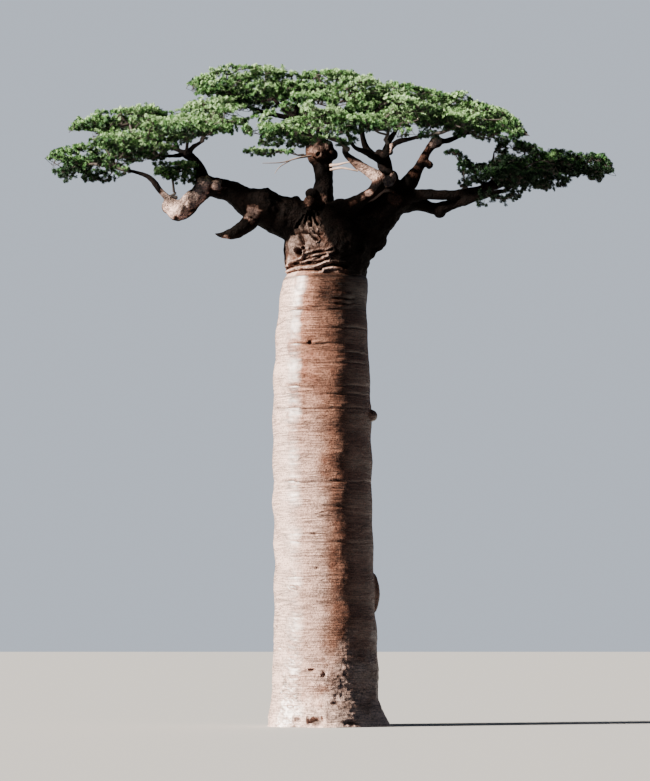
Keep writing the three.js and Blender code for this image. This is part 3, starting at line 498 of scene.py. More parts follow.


# Bark colours: the lighter and the darker of its blotches, and the painted shade in its creases.
FAIR_BARK = ((0.45, 0.225, 0.155), (0.27, 0.115, 0.075), (0.016, 0.007, 0.005))
# The rubbed colour: pale worn bark and painted sunlight both.
RUBBED_AND_SUNLIT_BARK = (0.9, 0.63, 0.53)
# The dark bark: dark bark with painted shade, near black.
DARK_AND_SHADED_BARK = ((0.0065, 0.0031, 0.0022), (0.0024, 0.0013, 0.001), (0.0012, 0.0008, 0.0006))
RINGED = {"Wrinkle height": 16.0, "Wrinkle length": 0.9, "Blotch size": 2.2}
KNOTTED = {"Wrinkle height": 7.5, "Wrinkle length": 5.5, "Blotch size": 2.6}


def new_material(name):
    material = bpy.data.materials.new(name)
    material.use_nodes = True
    nodes = material.node_tree.nodes
    nodes.clear()
    output = nodes.new("ShaderNodeOutputMaterial")
    shader = nodes.new("ShaderNodeBsdfPrincipled")
    material.node_tree.links.new(shader.outputs["BSDF"], output.inputs["Surface"])
    return material, shader


def noise_on(tree, places, detail, roughness):
    noise = tree.nodes.new("ShaderNodeTexNoise")
    noise.inputs["Scale"].default_value = 1.0
    noise.inputs["Detail"].default_value = detail
    noise.inputs["Roughness"].default_value = roughness
    tree.links.new(places, noise.inputs["Vector"])
    return noise.outputs["Fac"]


def stretched_noise(tree, source, stretch, detail=4.0, roughness=0.55):
    """Noise on object coordinates, stretched by one factor for each axis."""
    mapping = tree.nodes.new("ShaderNodeMapping")
    mapping.inputs["Scale"].default_value = stretch
    tree.links.new(source, mapping.inputs["Vector"])
    return noise_on(tree, mapping.outputs["Vector"], detail, roughness)


def ramp(tree, value, stops):
    node = tree.nodes.new("ShaderNodeValToRGB")
    elements = node.color_ramp.elements
    while len(elements) < len(stops):
        elements.new(0.5)
    for element, (place, colour) in zip(elements, stops):
        element.position = place
        element.color = (*colour, 1.0) if isinstance(colour, tuple) else (colour, colour, colour, 1.0)
    tree.links.new(value, node.inputs["Fac"])
    return node.outputs["Color"]


def mixed(tree, kind, amount, first, second):
    node = tree.nodes.new("ShaderNodeMix")
    node.data_type = "RGBA"
    node.blend_type = kind
    for socket, value in ((node.inputs[0], amount), (node.inputs[6], first), (node.inputs[7], second)):
        if isinstance(value, bpy.types.NodeSocket):
            tree.links.new(value, socket)
        else:
            socket.default_value = value
    return node.outputs[2]


def maths(tree, kind, first, second):
    node = tree.nodes.new("ShaderNodeMath")
    node.operation = kind
    for socket, value in zip(node.inputs, (first, second)):
        if isinstance(value, bpy.types.NodeSocket):
            tree.links.new(value, socket)
        else:
            socket.default_value = value
    return node.outputs[0]


def bark_pattern_group():
    """A bark's creases, blotches, grain and relief, from the size and length of its wrinkles."""
    group = bpy.data.node_groups.new("bark pattern", "ShaderNodeTree")
    for label in ("Wrinkle height", "Wrinkle length", "Blotch size"):
        group.interface.new_socket(label, in_out="INPUT", socket_type="NodeSocketFloat")
    for label in ("Crease", "Blotch", "Grain", "Height"):
        group.interface.new_socket(label, in_out="OUTPUT", socket_type="NodeSocketFloat")
    given = group.nodes.new("NodeGroupInput")
    result = group.nodes.new("NodeGroupOutput")
    place = group.nodes.new("ShaderNodeTexCoord").outputs["Object"]

    stretch = group.nodes.new("ShaderNodeCombineXYZ")
    for axis in (0, 1):
        group.links.new(given.outputs["Wrinkle length"], stretch.inputs[axis])
    group.links.new(given.outputs["Wrinkle height"], stretch.inputs[2])
    scaled = group.nodes.new("ShaderNodeVectorMath")
    scaled.operation = "MULTIPLY"
    group.links.new(place, scaled.inputs[0])
    group.links.new(stretch.outputs[0], scaled.inputs[1])
    rings = noise_on(group, scaled.outputs[0], 3.5, 0.55)
    from_middle = maths(group, "ABSOLUTE", maths(group, "SUBTRACT", rings, 0.5), 0.0)
    fine = ramp(group, from_middle, ((0.0, 0.85), (0.03, 0.5), (0.075, 0.0)))
    broken = ramp(group, stretched_noise(group, place, (1.6, 1.6, 3.4), 4.0), ((0.36, 0.2), (0.56, 1.0)))
    fine = mixed(group, "MULTIPLY", 1.0, fine, broken)
    slower = group.nodes.new("ShaderNodeVectorMath")
    slower.operation = "MULTIPLY"
    slower.inputs[1].default_value = (0.42, 0.42, 0.2)
    group.links.new(scaled.outputs[0], slower.inputs[0])
    ledges = noise_on(group, slower.outputs[0], 4.0, 0.5)
    past = maths(group, "SUBTRACT", ledges, 0.5)
    strong = ramp(group, maths(group, "ABSOLUTE", past, 0.0), ((0.0, 1.0), (0.005, 0.85), (0.013, 0.0)))
    patchy = ramp(group, stretched_noise(group, place, (1.3, 1.3, 1.1), 3.0), ((0.46, 0.0), (0.6, 1.0)))
    strong = mixed(group, "MULTIPLY", 1.0, strong, patchy)
    step = ramp(group, ledges, ((0.495, 0.0), (0.51, 1.0), (0.6, 0.0)))
    step = mixed(group, "MULTIPLY", 1.0, step, patchy)
    creases = mixed(group, "LIGHTEN", 1.0, fine, strong)
    group.links.new(creases, result.inputs["Crease"])

    size = group.nodes.new("ShaderNodeVectorMath")
    size.operation = "SCALE"
    group.links.new(place, size.inputs[0])
    group.links.new(given.outputs["Blotch size"], size.inputs["Scale"])
    blotches = noise_on(group, size.outputs[0], 7.0, 0.65)
    group.links.new(ramp(group, blotches, ((0.36, 0.0), (0.64, 1.0))), result.inputs["Blotch"])
    grain = stretched_noise(group, place, (24.0, 24.0, 20.0), 4.0, 0.7)
    group.links.new(grain, result.inputs["Grain"])

    cut = maths(group, "MULTIPLY", creases, 1.2)
    sunk = maths(group, "SUBTRACT", maths(group, "MULTIPLY", step, 1.6), cut)
    raised = maths(group, "ADD", maths(group, "MULTIPLY", grain, 1.3), rings)
    group.links.new(maths(group, "ADD", sunk, raised), result.inputs["Height"])
    return group


def attribute(tree, name):
    node = tree.nodes.new("ShaderNodeAttribute")
    node.attribute_name = name
    return node.outputs["Fac"]


def bark_material(group):
    """Ringed bark where "ringed" is 1, knotted where it is 0, pale where "fair" is 1, and near black with
    painted shade where it is 0.
    """
    material, shader = new_material("bark")
    tree = material.node_tree
    patterns = []
    for values in (KNOTTED, RINGED):
        pattern = tree.nodes.new("ShaderNodeGroup")
        pattern.node_tree = group
        for label, value in values.items():
            pattern.inputs[label].default_value = value
        patterns.append(pattern)
    ringed = attribute(tree, "ringed")
    crease, blotch, grain, height = (
        mixed(tree, "MIX", ringed, patterns[0].outputs[label], patterns[1].outputs[label])
        for label in ("Crease", "Blotch", "Grain", "Height")
    )
    # The near-black dark bark of the boughs, with painted shade.
    dark = mixed(tree, "MIX", blotch, *[(*colour, 1.0) for colour in DARK_AND_SHADED_BARK[:2]])
    fair = mixed(tree, "MIX", blotch, *[(*colour, 1.0) for colour in FAIR_BARK[:2]])
    # The rubbed colour: pale worn bark and painted sunlight.
    fair = mixed(tree, "MIX", attribute(tree, "rubbed_and_sunlit"), fair, (*RUBBED_AND_SUNLIT_BARK, 1.0))
    ground = mixed(tree, "MIX", attribute(tree, "fair"), dark, fair)
    # Painted shade: creases and clefts take the near-black crease colour.
    crease_shade = mixed(tree, "MIX", attribute(tree, "fair"), (*DARK_AND_SHADED_BARK[2], 1.0), (*FAIR_BARK[2], 1.0))
    speckled = mixed(tree, "MULTIPLY", 0.9, ground, ramp(tree, grain, ((0.36, 0.3), (0.56, 1.0))))
    depth = maths(tree, "MAXIMUM", maths(tree, "MULTIPLY", crease, 0.6), attribute(tree, "cleft"))
    tree.links.new(mixed(tree, "MIX", depth, speckled, crease_shade), shader.inputs["Base Color"])
    bump = tree.nodes.new("ShaderNodeBump")
    bump.inputs["Strength"].default_value = 0.9
    bump.inputs["Distance"].default_value = 0.022
    tree.links.new(height, bump.inputs["Height"])
    tree.links.new(bump.outputs["Normal"], shader.inputs["Normal"])
    tree.links.new(ramp(tree, ringed, ((0.0, 0.82), (1.0, 0.4))), shader.inputs["Roughness"])
    tree.links.new(attribute(tree, "polished"), shader.inputs["Coat Weight"])
    shader.inputs["Specular IOR Level"].default_value = 0.06
    shader.inputs["Coat Roughness"].default_value = 0.42
    shader.inputs["Coat IOR"].default_value = 1.75
    return material


def twig_material(name, colour):
    material, shader = new_material(name)
    tree = material.node_tree
    place = tree.nodes.new("ShaderNodeTexCoord").outputs["Object"]
    shade = ramp(tree, stretched_noise(tree, place, (9.0, 9.0, 9.0), 3.0), ((0.3, 0.6), (0.7, 1.0)))
    tree.links.new(mixed(tree, "MULTIPLY", 1.0, (*colour, 1.0), shade), shader.inputs["Base Color"])
    shader.inputs["Roughness"].default_value = 0.7
    return material


def paint(piece, name, values):
    """A value from 0 to 1 for each corner, read by the bark material."""
    layer = piece.data.attributes.new(name, "FLOAT", "POINT")
    layer.data.foreach_set("value", np.clip(values, 0, 1).astype(np.float32))


def leaf_material(name, colour, roughness):
    material, shader = new_material(name)
    shader.inputs["Base Color"].default_value = (*colour, 1.0)
    shader.inputs["Roughness"].default_value = roughness
    shader.inputs["Specular IOR Level"].default_value = 0.25
    return material


def finish_piece(piece, materials, nodes):
    if materials:
        piece.data.materials.clear()
        for material in materials:
            piece.data.materials.append(material)
    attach(piece, "root")
    if nodes:
        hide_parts(*nodes)
    return piece


def close_ends(piece):
    """Fills the open rims at the ground and the top."""
    select_only(piece)
    bpy.ops.object.mode_set(mode="EDIT")
    bpy.ops.mesh.select_all(action="SELECT")
    bpy.ops.mesh.region_to_loop()
    bpy.ops.mesh.edge_face_add()
    bpy.ops.mesh.select_all(action="SELECT")
    bpy.ops.mesh.normals_make_consistent(inside=False)
    bpy.ops.object.mode_set(mode="OBJECT")


def from_front(x, y):
    """Bearing in degrees from the front of the tree, plus to the right."""
    return np.degrees(np.arctan2(x, -y))


# How high up the neck the pale bark climbs: bearing from the front, and height.
# Above it the bark turns near black: dark bark with painted shade; it stays low on the shaded right.
NECK_PALENESS = [
    (-180, 12.7), (-145, 13.0), (-115, 13.15), (-62, 13.25), (-44, 13.7), (-14, 13.8),
    (-5, 13.7), (9, 12.85), (24, 12.5), (60, 12.15), (140, 12.2), (180, 12.7),
]


def neck_fairness(corners, pale):
    """How pale the bark is above the trunk, where it fades out up the neck in painted shade and comes back
    in patches of pale bark and painted sunlight.
    """
    bearing = from_front(corners[:, 0], corners[:, 1])
    reach = np.interp(bearing, *zip(*NECK_PALENESS))
    reach = reach + 0.22 * lumps(corners, 0.35, 50) + 0.12 * lumps(corners, 0.12, 51)
    fair = held((reach - corners[:, 2]) / 0.35) * np.clip(0.75 - 0.8 * (corners[:, 2] - 12.3), 0.32, 0.75)
    fair = fair * held(progress(np.hypot(corners[:, 0], corners[:, 1]), 1.6, 1.35))
    fair = fair + 0.3 * fair * lumps(corners, 0.18, 49) + 0.3 * fair * lumps(corners, (0.1, 0.1, 0.04), 46)
    flecked = 0.95 + 0.4 * lumps(corners, 0.2, 48) + 0.3 * lumps(corners, (0.1, 0.1, 0.05), 47)
    # The pale bough and the top of the arch: pale bark and painted sunlight.
    worn = 0.8 * pale * held(progress(corners[:, 0], 0.55, 0.95)) * held(flecked)
    fair = np.maximum(fair, worn)
    ragged = 0.75 * lumps(corners, 0.17, 52) + 0.45 * lumps(corners, (0.09, 0.09, 0.05), 53)
    # The pale patches: pale bark and painted sunlight on the near-black boughs.
    for middle, radius, how_pale, how_rubbed_and_sunlit in PALE_PATCHES:
        away = np.linalg.norm(corners - np.array(middle), axis=1) / radius
        inside = held((1.15 - away + 0.65 * ragged) / 0.35)
        fair = np.maximum(fair, how_pale * inside)
        worn = np.maximum(worn, how_rubbed_and_sunlit * inside)
    return fair, worn


TRUNK_SIDES = 210
TRUNK_CUTS = 20
# Relief of the trunk: depth, size of the lumps, seed, and the two heights between which it fades out.
TRUNK_RELIEF = [
    (0.014, (1.5, 1.5, 0.5), 1, None),
    (0.003, 0.09, 10, None),
    (0.022, 0.42, 4, (0.8, 1.8)),
    (0.014, 0.13, 9, (0.68, 2.9)),
    (0.009, (0.07, 0.07, 0.05), 14, (0.9, 3.4)),
]
# Rings that waver round the trunk: depth, size and seed.
TRUNK_RINGS = [(0.004, (0.6, 0.6, 0.13), 2), (0.003, (0.4, 0.4, 0.06), 3)]
ROOT_RIDGE_DEPTH = 0.06
ROOT_RIDGE_HEIGHT = 0.3
CREASE_WIDTH = 0.028
CREASE_LIP = (0.1, 0.07)


def trunk_tube():
    """An open tube of one metre, in fine rows."""
    bpy.ops.mesh.primitive_cylinder_add(vertices=TRUNK_SIDES, radius=1, depth=1, end_fill_type="NOTHING")
    trunk = bpy.context.active_object
    trunk.name = "trunk_bark"
    bpy.ops.object.mode_set(mode="EDIT")
    for step in (0.5, 0.5 / (TRUNK_CUTS + 1)):
        bpy.ops.mesh.select_all(action="DESELECT")
        shell = bmesh.from_edit_mesh(trunk.data)
        for edge in shell.edges:
            edge.select = abs(edge.verts[0].co.z - edge.verts[1].co.z) > step
        bmesh.update_edit_mesh(trunk.data)
        bpy.ops.mesh.subdivide(number_cuts=TRUNK_CUTS)
    bpy.ops.object.mode_set(mode="OBJECT")
    return trunk


def trunk_relief(around, bearing, front, height):
    """The trunk's radius with all its relief, and how far in a crease or scar each corner lies."""
    radius = trunk_radius(height, bearing)
    wavy = around + np.column_stack((height * 0, height * 0, 0.05 * lumps(around, 0.8, 5)))
    for depth, size, seed in TRUNK_RINGS:
        radius += depth * lumps(wavy, size, seed)
    for depth, size, seed, fades in TRUNK_RELIEF:
        strength = held(progress(height, fades[1], fades[0])) if fades else 1
        radius += depth * strength * lumps(around, size, seed)
    radius += ROOT_RIDGE_DEPTH * lumps(around, (0.34, 0.34, 1.2), 6) * np.exp(-height / ROOT_RIDGE_HEIGHT)

    wander = 0.05 * lumps(around, (0.8, 0.8, 3.0), 7) + 0.02 * lumps(around, (0.25, 0.25, 3.0), 8)
    worn = np.clip(0.95 + 0.6 * lumps(around, (0.35, 0.35, 0.3), 11), 0.15, 1.3)
    cleft = np.zeros(len(radius))
    for level, middle, arc, deep in TRUNK_CREASES:
        off = (front - middle + 180) % 360 - 180
        strength = worn * np.clip(1.3 - np.abs(off) / arc, 0, 1)
        drop = height - level - wander + 0.04 * np.cos(np.radians(off) * 1.5)
        radius -= 0.7 * deep * strength * np.exp(-((drop / CREASE_WIDTH) ** 2))
        radius += 0.35 * deep * strength * np.exp(-(((drop - CREASE_LIP[0]) / CREASE_LIP[1]) ** 2))
        shown = min(deep / 0.02, 1) * np.exp(-((drop / (0.93 * CREASE_WIDTH)) ** 2))
        cleft = np.maximum(cleft, strength * shown)
    for level, middle, wide, tall, deep in TRUNK_MARKS:
        off = np.radians((front - middle + 180) % 360 - 180) * MIDDLE_RADIUS
        reach = np.sqrt((off / wide) ** 2 + ((height - level) / tall) ** 2)
        reach = reach * (1 + 0.35 * lumps(around, 0.07, 12))
        radius -= deep * np.exp(-(reach**3))
        radius += 0.1 * deep * np.exp(-(((reach - 1.8) / 0.6) ** 2))
        cleft = np.maximum(cleft, np.exp(-((1.25 * reach) ** 4)))
    for level, middle, reach, half in BURLS:
        off = bearing - math.radians(middle)
        near = ((off * MIDDLE_RADIUS) / (2.0 * reach)) ** 2 + ((height - level) / (1.05 * half)) ** 2
        radius += 1.15 * reach * np.sqrt(np.clip(1 - near, 0, 1)) ** 0.8
    radius -= 0.1 * held(progress(height, NECK_SEAM - 0.02, NECK_SEAM + 0.18))
    return radius, cleft


def paint_trunk(trunk, around, front, height, cleft):
    """Painted sunlight on the lit side and pale bark low down, painted shade redder and darker on the
    right, and a painted shadow below the neck.
    """
    ragged = 0.9 * lumps(around, 0.5, 54) + 0.6 * lumps(around, 0.2, 55) + 0.4 * lumps(around, 0.08, 56)
    left_side = held(progress(front, -130, -105))
    # Painted sunlight: paler on the lit left side, and lower down across the front too.
    sunlit_side = 0.85 * held(progress(front, -36, -43) + 1.2 * ragged) * left_side
    sunlit_lower_front = held(progress(front, 11, -9) + 0.4 * ragged) * left_side * held(progress(height, 9.4, 7.0))
    low_down = progress(height, 2.9, 0.3) + 0.55 * ragged * (height < 3.6) - 0.1
    paint(trunk, "rubbed_and_sunlit", np.maximum(low_down, np.maximum(sunlit_side, 0.5 * sunlit_lower_front)))
    paint(trunk, "ringed", np.ones(len(height)))

    # Painted shade in the creases, scars and hollows and along the seam under the neck, and dark pits low
    # down.
    seam = 0.8 * np.exp(-(((height - NECK_SEAM + 0.03) / 0.05) ** 2))
    pits = np.clip(1.6 * lumps(around, (0.06, 0.06, 0.045), 15) - 0.7, 0, 0.8)
    pits = pits * held(progress(height, 3.2, 1.2))
    paint(trunk, "cleft", np.maximum(np.maximum(0.85 * cleft, seam), pits))

    # A painted shadow under the neck on the right, and painted shade on the shaded right side, stronger
    # higher up.
    neck_shadow = held(progress(front, -26, -4) + 0.25 * ragged) * held(progress(front, 170, 130))
    neck_shadow = neck_shadow * held(progress(height, 10.2, 11.6))
    streaked = held(lumps(around, (1.2, 1.2, 0.5), 57))
    shaded_side = held(progress(front, 6, 24)) * held(progress(front, 170, 140))
    shaded_side = shaded_side * np.interp(height, (6, 10), (0.16, 0.36))
    paint(trunk, "fair", (1.0 - 0.12 * streaked) * (1 - 0.75 * neck_shadow) * (1 - shaded_side))

    left_sheen = held(progress(front, -24, -38) + 0.3 * ragged) * held(progress(front, -150, -120))
    right_sheen = 0.42 * held(progress(front, 18, 38)) * held(progress(front, 175, 135))
    paint(trunk, "polished", np.maximum(left_sheen, right_sheen))


def trunk_bark(material):
    """A tube shaped to the source's girths, with creases and scars pressed into it."""
    trunk = trunk_tube()
    corners = corners_of(trunk)
    bearing = np.arctan2(corners[:, 1], corners[:, 0])
    front = from_front(np.cos(bearing), np.sin(bearing))
    height = (corners[:, 2] + 0.5) * (NECK_SEAM + 0.2)
    around = np.column_stack((MIDDLE_RADIUS * np.cos(bearing), MIDDLE_RADIUS * np.sin(bearing), height))
    radius, cleft = trunk_relief(around, bearing, front, height)
    shift = girth(height, 2)
    placed = np.column_stack((shift + radius * np.cos(bearing), radius * np.sin(bearing), height))
    set_corners(trunk, placed)
    paint_trunk(trunk, around, front, height, cleft)
    close_ends(trunk)
    return finish_piece(trunk, [material], ["trunk"])


def limb_splines(name, limbs, resolution):
    """One closed tube for each limb, swept with its radius, as a mesh."""
    curve = bpy.data.curves.new(name, "CURVE")
    curve.dimensions = "3D"
    curve.bevel_depth = 1.0
    curve.bevel_resolution = resolution
    curve.use_fill_caps = True
    curve.twist_mode = "MINIMUM"
    for rows in limbs:
        spline = curve.splines.new("POLY")
        spline.points.add(len(rows) - 1)
        for point, (x, y, z, radius) in zip(spline.points, rows):
            point.co = (x, y, z, 1.0)
            point.radius = radius
    piece = bpy.data.objects.new(name, curve)
    bpy.context.scene.collection.objects.link(piece)
    select_only(piece)
    bpy.ops.object.convert(target="MESH")
    return bpy.context.active_object


def crooked(rows, seed):
    """Swells and bends a limb a little, less at its two ends."""
    rows = rows.copy()
    share = np.linspace(0, 1, len(rows))
    ease = np.sin(math.pi * share) ** 0.5
    bend = 0.2 * rows[:, 3].mean()
    for axis in range(3):
        rows[:, axis] += bend * ease * lumps(rows[:, :3] + 7.3 * axis, 0.55, seed)
    rows[:, 3] *= 1 + 0.13 * lumps(rows[:, :3], 0.4, seed + 9)
    return rows


# The boughs are thinned by this before the bark's relief goes on, and grown together in cells of this size.
SLIMMER = 0.018
SKIN_CELL = 0.036
# The top of the arch, painted pale as pale bark and painted sunlight: its middle and reach.
ARCH_TOP = (1.34, -0.66, 14.96)
ARCH_TOP_RADIUS = 0.22


def refine_neck(skin):
    """Halves the faces on the front of the neck, where the folds are finest."""
    select_only(skin)
    bpy.ops.object.mode_set(mode="EDIT")
    bpy.ops.mesh.select_mode(type="FACE")
    bpy.ops.mesh.select_all(action="DESELECT")
    shell = bmesh.from_edit_mesh(skin.data)
    for face in shell.faces:
        x, y, z = face.calc_center_median()
        face.select = y < -0.15 and -1.3 < x < 0.6 and NECK_SEAM < z < 13.9
    bmesh.update_edit_mesh(skin.data)
    bpy.ops.mesh.subdivide(number_cuts=1, smoothness=0.6)
    bpy.ops.object.mode_set(mode="OBJECT")


def folds(corners):
    """How deep each corner lies in the folds of the neck, and how far in them it is from 0 to 1."""
    x, height, _ = seen_from_front(corners)
    stray = 0.025 * lumps(corners, 0.16, 38) + 0.012 * lumps(corners, 0.06, 39)
    sunk = np.zeros(len(corners))
    inside = np.zeros(len(corners))
    for points, deep, wide in NECK_FOLDS:
        nearest = np.full(len(corners), 9.0)
        for a, b in zip(np.array(points[:-1]), np.array(points[1:])):
            run, rise = b - a
            along = np.clip(((x - a[0]) * run + (height - a[1]) * rise) / (run**2 + rise**2), 0, 1)
            away = np.hypot(x - a[0] - along * run, height - a[1] - along * rise)
            nearest = np.minimum(nearest, away)
        nearest = np.where(corners[:, 1] < -0.1, nearest + stray, 9.0)
        beside = np.exp(-(((nearest - 2.4 * wide) / wide) ** 2))
        sunk += deep * (np.exp(-((nearest / wide) ** 2)) - 0.55 * beside)
        inside = np.maximum(inside, np.exp(-((nearest / (0.8 * wide)) ** 2)))
    return sunk, inside


def grown_skin(limbs, neck):
    """One skin round the neck, the boughs and the lumps of the fork."""
    skin = limb_splines("bough_bark", limbs + [neck], 8)
    balls = []
    for middle, radius in FORK_LUMPS:
        bpy.ops.mesh.primitive_ico_sphere_add(subdivisions=3, radius=radius, location=middle)
        balls.append(bpy.context.active_object)
    select_only(skin, *balls)
    bpy.ops.object.join()
    skin = bpy.context.active_object
    apply_modifier(skin, "REMESH", mode="VOXEL", voxel_size=SKIN_CELL)
    apply_modifier(skin, "SMOOTH", factor=0.5, iterations=5)
    refine_neck(skin)
    return skin


def nearest_rows(corners, limbs):
    """The row of the limbs that each corner lies nearest to, counted through all of them."""
    rows = np.vstack(limbs)
    tree = kdtree.KDTree(len(rows))
    for i, row in enumerate(rows):
        tree.insert(row[:3], i)
    tree.balance()
    return np.array([tree.find(corner)[1] for corner in corners])


def skin_relief(corners, bearing, stem, above, near):
    """How far each corner of the skin is lifted, and how far in a fold or burrow it lies."""
    rough = np.clip(near / 0.4, 0.12, 1)
    calm = np.where(stem, 0.35 + 0.65 * held(progress(corners[:, 2], 12.9, 13.4)), 1.0)
    lift = 0.05 * rough * calm * lumps(corners, 0.42, 31)
    lift += 0.034 * rough * calm * lumps(corners, 0.2, 32)
    lift += 0.015 * np.sqrt(rough) * lumps(corners, 0.09, 33)

    zone = above * held(progress(corners[:, 2], 13.75, 13.25)) * stem
    slope = corners[:, 2] - 0.4 * np.clip(bearing, -2, 0.7) + 0.1 * lumps(corners, 0.6, 34)
    fold = 1 - np.abs(np.sin(math.pi * slope / 0.23)) ** 0.55
    behind = np.clip((np.abs(bearing + 0.2) - 1.5) / 0.4, 0.1, 1)
    lift -= 0.09 * zone * fold * behind * (0.7 + 0.5 * lumps(corners, 0.5, 35))
    sunk, cleft = folds(corners)
    lift -= sunk
    cleft = np.maximum(cleft, 0.8 * zone * behind * held(fold - 0.5) * 2)
    for middle, reach, deep in NECK_MARKS:
        away = np.linalg.norm(corners - np.array(middle), axis=1) / reach
        lift -= deep * np.exp(-(away**3) * 1.1)
        if deep > 0:
            cleft = np.maximum(cleft, np.exp(-((1.15 * away) ** 4)))
            rim = np.exp(-(((away - 1.5) / 0.35) ** 2))
            lift += 0.3 * deep * rim * (0.8 + 0.8 * lumps(corners, 0.15, 37))
    return lift * np.where(stem, 0.15 + 0.85 * above, 1.0), cleft


def bough_bark(material):
    """Neck, fork and boughs grown together in one skin, with knots, folds and burrows."""
    limbs = [crooked(smooth_path(path, 0.06), 20 + i) for i, path in enumerate(BOUGHS.values())]
    for limb in limbs:
        limb[0, :3] = limb[0, :3] - (limb[2, :3] - limb[0, :3]) * 0.8
        limb[:, 3] -= SLIMMER
    levels = np.arange(NECK_SEAM - 0.1, NECK_TOP, 0.05)
    tucked = 0.09 * held(progress(levels, NECK_SEAM + 0.1, NECK_SEAM - 0.04))
    wide = trunk_radius(levels, 0 * levels) - tucked
    neck = np.column_stack((girth(levels, 2), levels * 0, levels, wide))
    skin = grown_skin(limbs, neck)

    corners = corners_of(skin)
    found = nearest_rows(corners, limbs + [neck])
    near = np.vstack(limbs + [neck])[found, 3]
    bearing = np.arctan2(corners[:, 0], -corners[:, 1])
    stem = np.hypot(corners[:, 0] - girth(corners[:, 2], 2), corners[:, 1]) < girth(corners[:, 2], 1) + 0.15
    above = held(progress(corners[:, 2], NECK_SEAM + 0.02, NECK_SEAM + 0.12))
    lift, cleft = skin_relief(corners, bearing, stem, above, near)
    placed = corners + normals_of(skin) * lift[:, None]
    set_corners(skin, placed)

    ends = np.cumsum([len(limb) for limb in limbs])
    on_pale = np.searchsorted(ends, found, side="right") == list(BOUGHS).index("pale_bough")
    # The pale bough, the top of the arch and the patches: pale bark and painted sunlight.
    from_arch_top = np.linalg.norm(placed - np.array(ARCH_TOP), axis=1)
    top_of_arch = np.exp(-((from_arch_top / ARCH_TOP_RADIUS) ** 4))
    fair, worn = neck_fairness(placed, np.maximum(1.0 * on_pale, top_of_arch))
    turned = np.degrees(bearing)
    # Painted highlights on the crests of the neck's folds on the lit front-left, with painted shade in the
    # folds between them.
    lit_crest = held(0.2 + 13 * lift + 0.5 * lumps(corners, 0.11, 61))
    lit_crest = lit_crest * held(progress(turned, 22, 8)) * held(progress(turned, -180, -150))
    paint(skin, "fair", fair * np.where(stem, 0.6 + 0.4 * lit_crest, 1.0))
    paint(skin, "rubbed_and_sunlit", np.maximum(worn, 0.85 * lit_crest * stem * held(progress(turned, -150, -120))))
    # Painted shade in the folds and burrows of the neck.
    paint(skin, "cleft", 0.9 * cleft)
    paint(skin, "ringed", np.where(stem, progress(placed[:, 2], 12.45, 12.15), 0.0))
    bpy.ops.object.select_all(action="DESELECT")
    return finish_piece(skin, [material], list(BOUGHS))


# Growth. Each cushion is grown by the source's rule, and then carried on to finer twigs.
def seeded(seed):
    """Numbers from 0 to 1 that come out the same on every run, as in the source."""
    state = seed
    while True:
        state = (state * 1664525 + 1013904223) & 0xFFFFFFFF
        yield state / 4294967296


# How dense the tips are, how far they reach in a cushion, and the measures of twigs, shoots and leaves.
TIPS_PER_AREA = 10.5
TIP_REACH = 0.95
TIP_RISE = (-0.95, 0.92)
SPARSE = {
    "column_wisp": 0.8, "right_wisp": 0.7, "left_cluster": 2.2, "far_right_low_leaves": 1.3,
    "far_right_upper_leaves": 1.15, "back_left_leaves": 1.15, "back_mid_leaves": 1.15,
    "back_right_leaves": 1.15, "back_far_right_leaves": 1.15,
}
LOOSE = {"left_cluster": 1.6, "far_right_low_leaves": 1.75, "left_low_leaves": 1.25, "right_wisp": 1.6}
TWIG_TIP = 0.0065
SHOOTS_PER_TIP = 16
LEAVES_PER_SHOOT = 9
SHOOT_LENGTH = 0.19
SHOOT_THICKNESS = (0.006, 0.0035)
LEAF_RADIUS = 0.062
LEAF_TINTS = 5
# Painted shade: how much darker the leaf tints are in the cushions that lie in shade.
SHADED = {"far_right": 0.6, "right_wisp": 0.6, "left_low": 0.2}


def seen_from_front(places):
    """Where each place appears in the plane across the front of the trunk: x, height and its scale."""
    scale = (FRONT_PLANE - VIEWPOINT[1]) / (places[:, 1] - VIEWPOINT[1])
    x = VIEWPOINT[0] + (places[:, 0] - VIEWPOINT[0]) * scale
    return x, VIEWPOINT[2] + (places[:, 2] - VIEWPOINT[2]) * scale, scale


def line_at(name, x, column):
    """The lowest (1) or highest (2) leaf of a cushion's line at x."""
    line = np.array(LINES.get(name, TOP_LINES))
    return np.interp(x, line[:, 0], line[:, column])


def open_to_sky(places, margin):
    """True where a place would close one of the gaps in the crown."""
    x, height, _ = seen_from_front(places)
    closed = np.zeros(len(places), bool)
    for middle, level, wide, tall in SKY_GAPS:
        closed |= ((x - middle) / (wide + margin)) ** 2 + ((height - level) / (tall + margin)) ** 2 < 1
    return closed


def shades_pale_bough(places):
    """True where a place stands between the sun and the pale bough."""
    towards = np.array(SUN_FROM) / np.linalg.norm(SUN_FROM)
    shading = np.zeros(len(places), bool)
    for x, y, z, radius in smooth_path(BOUGHS["pale_bough"], 0.15):
        away = places - np.array((x, y, z))
        along = away @ towards
        shading |= (along > 0.3) & (np.linalg.norm(away - along[:, None] * towards, axis=1) < radius + 0.08)
    return shading


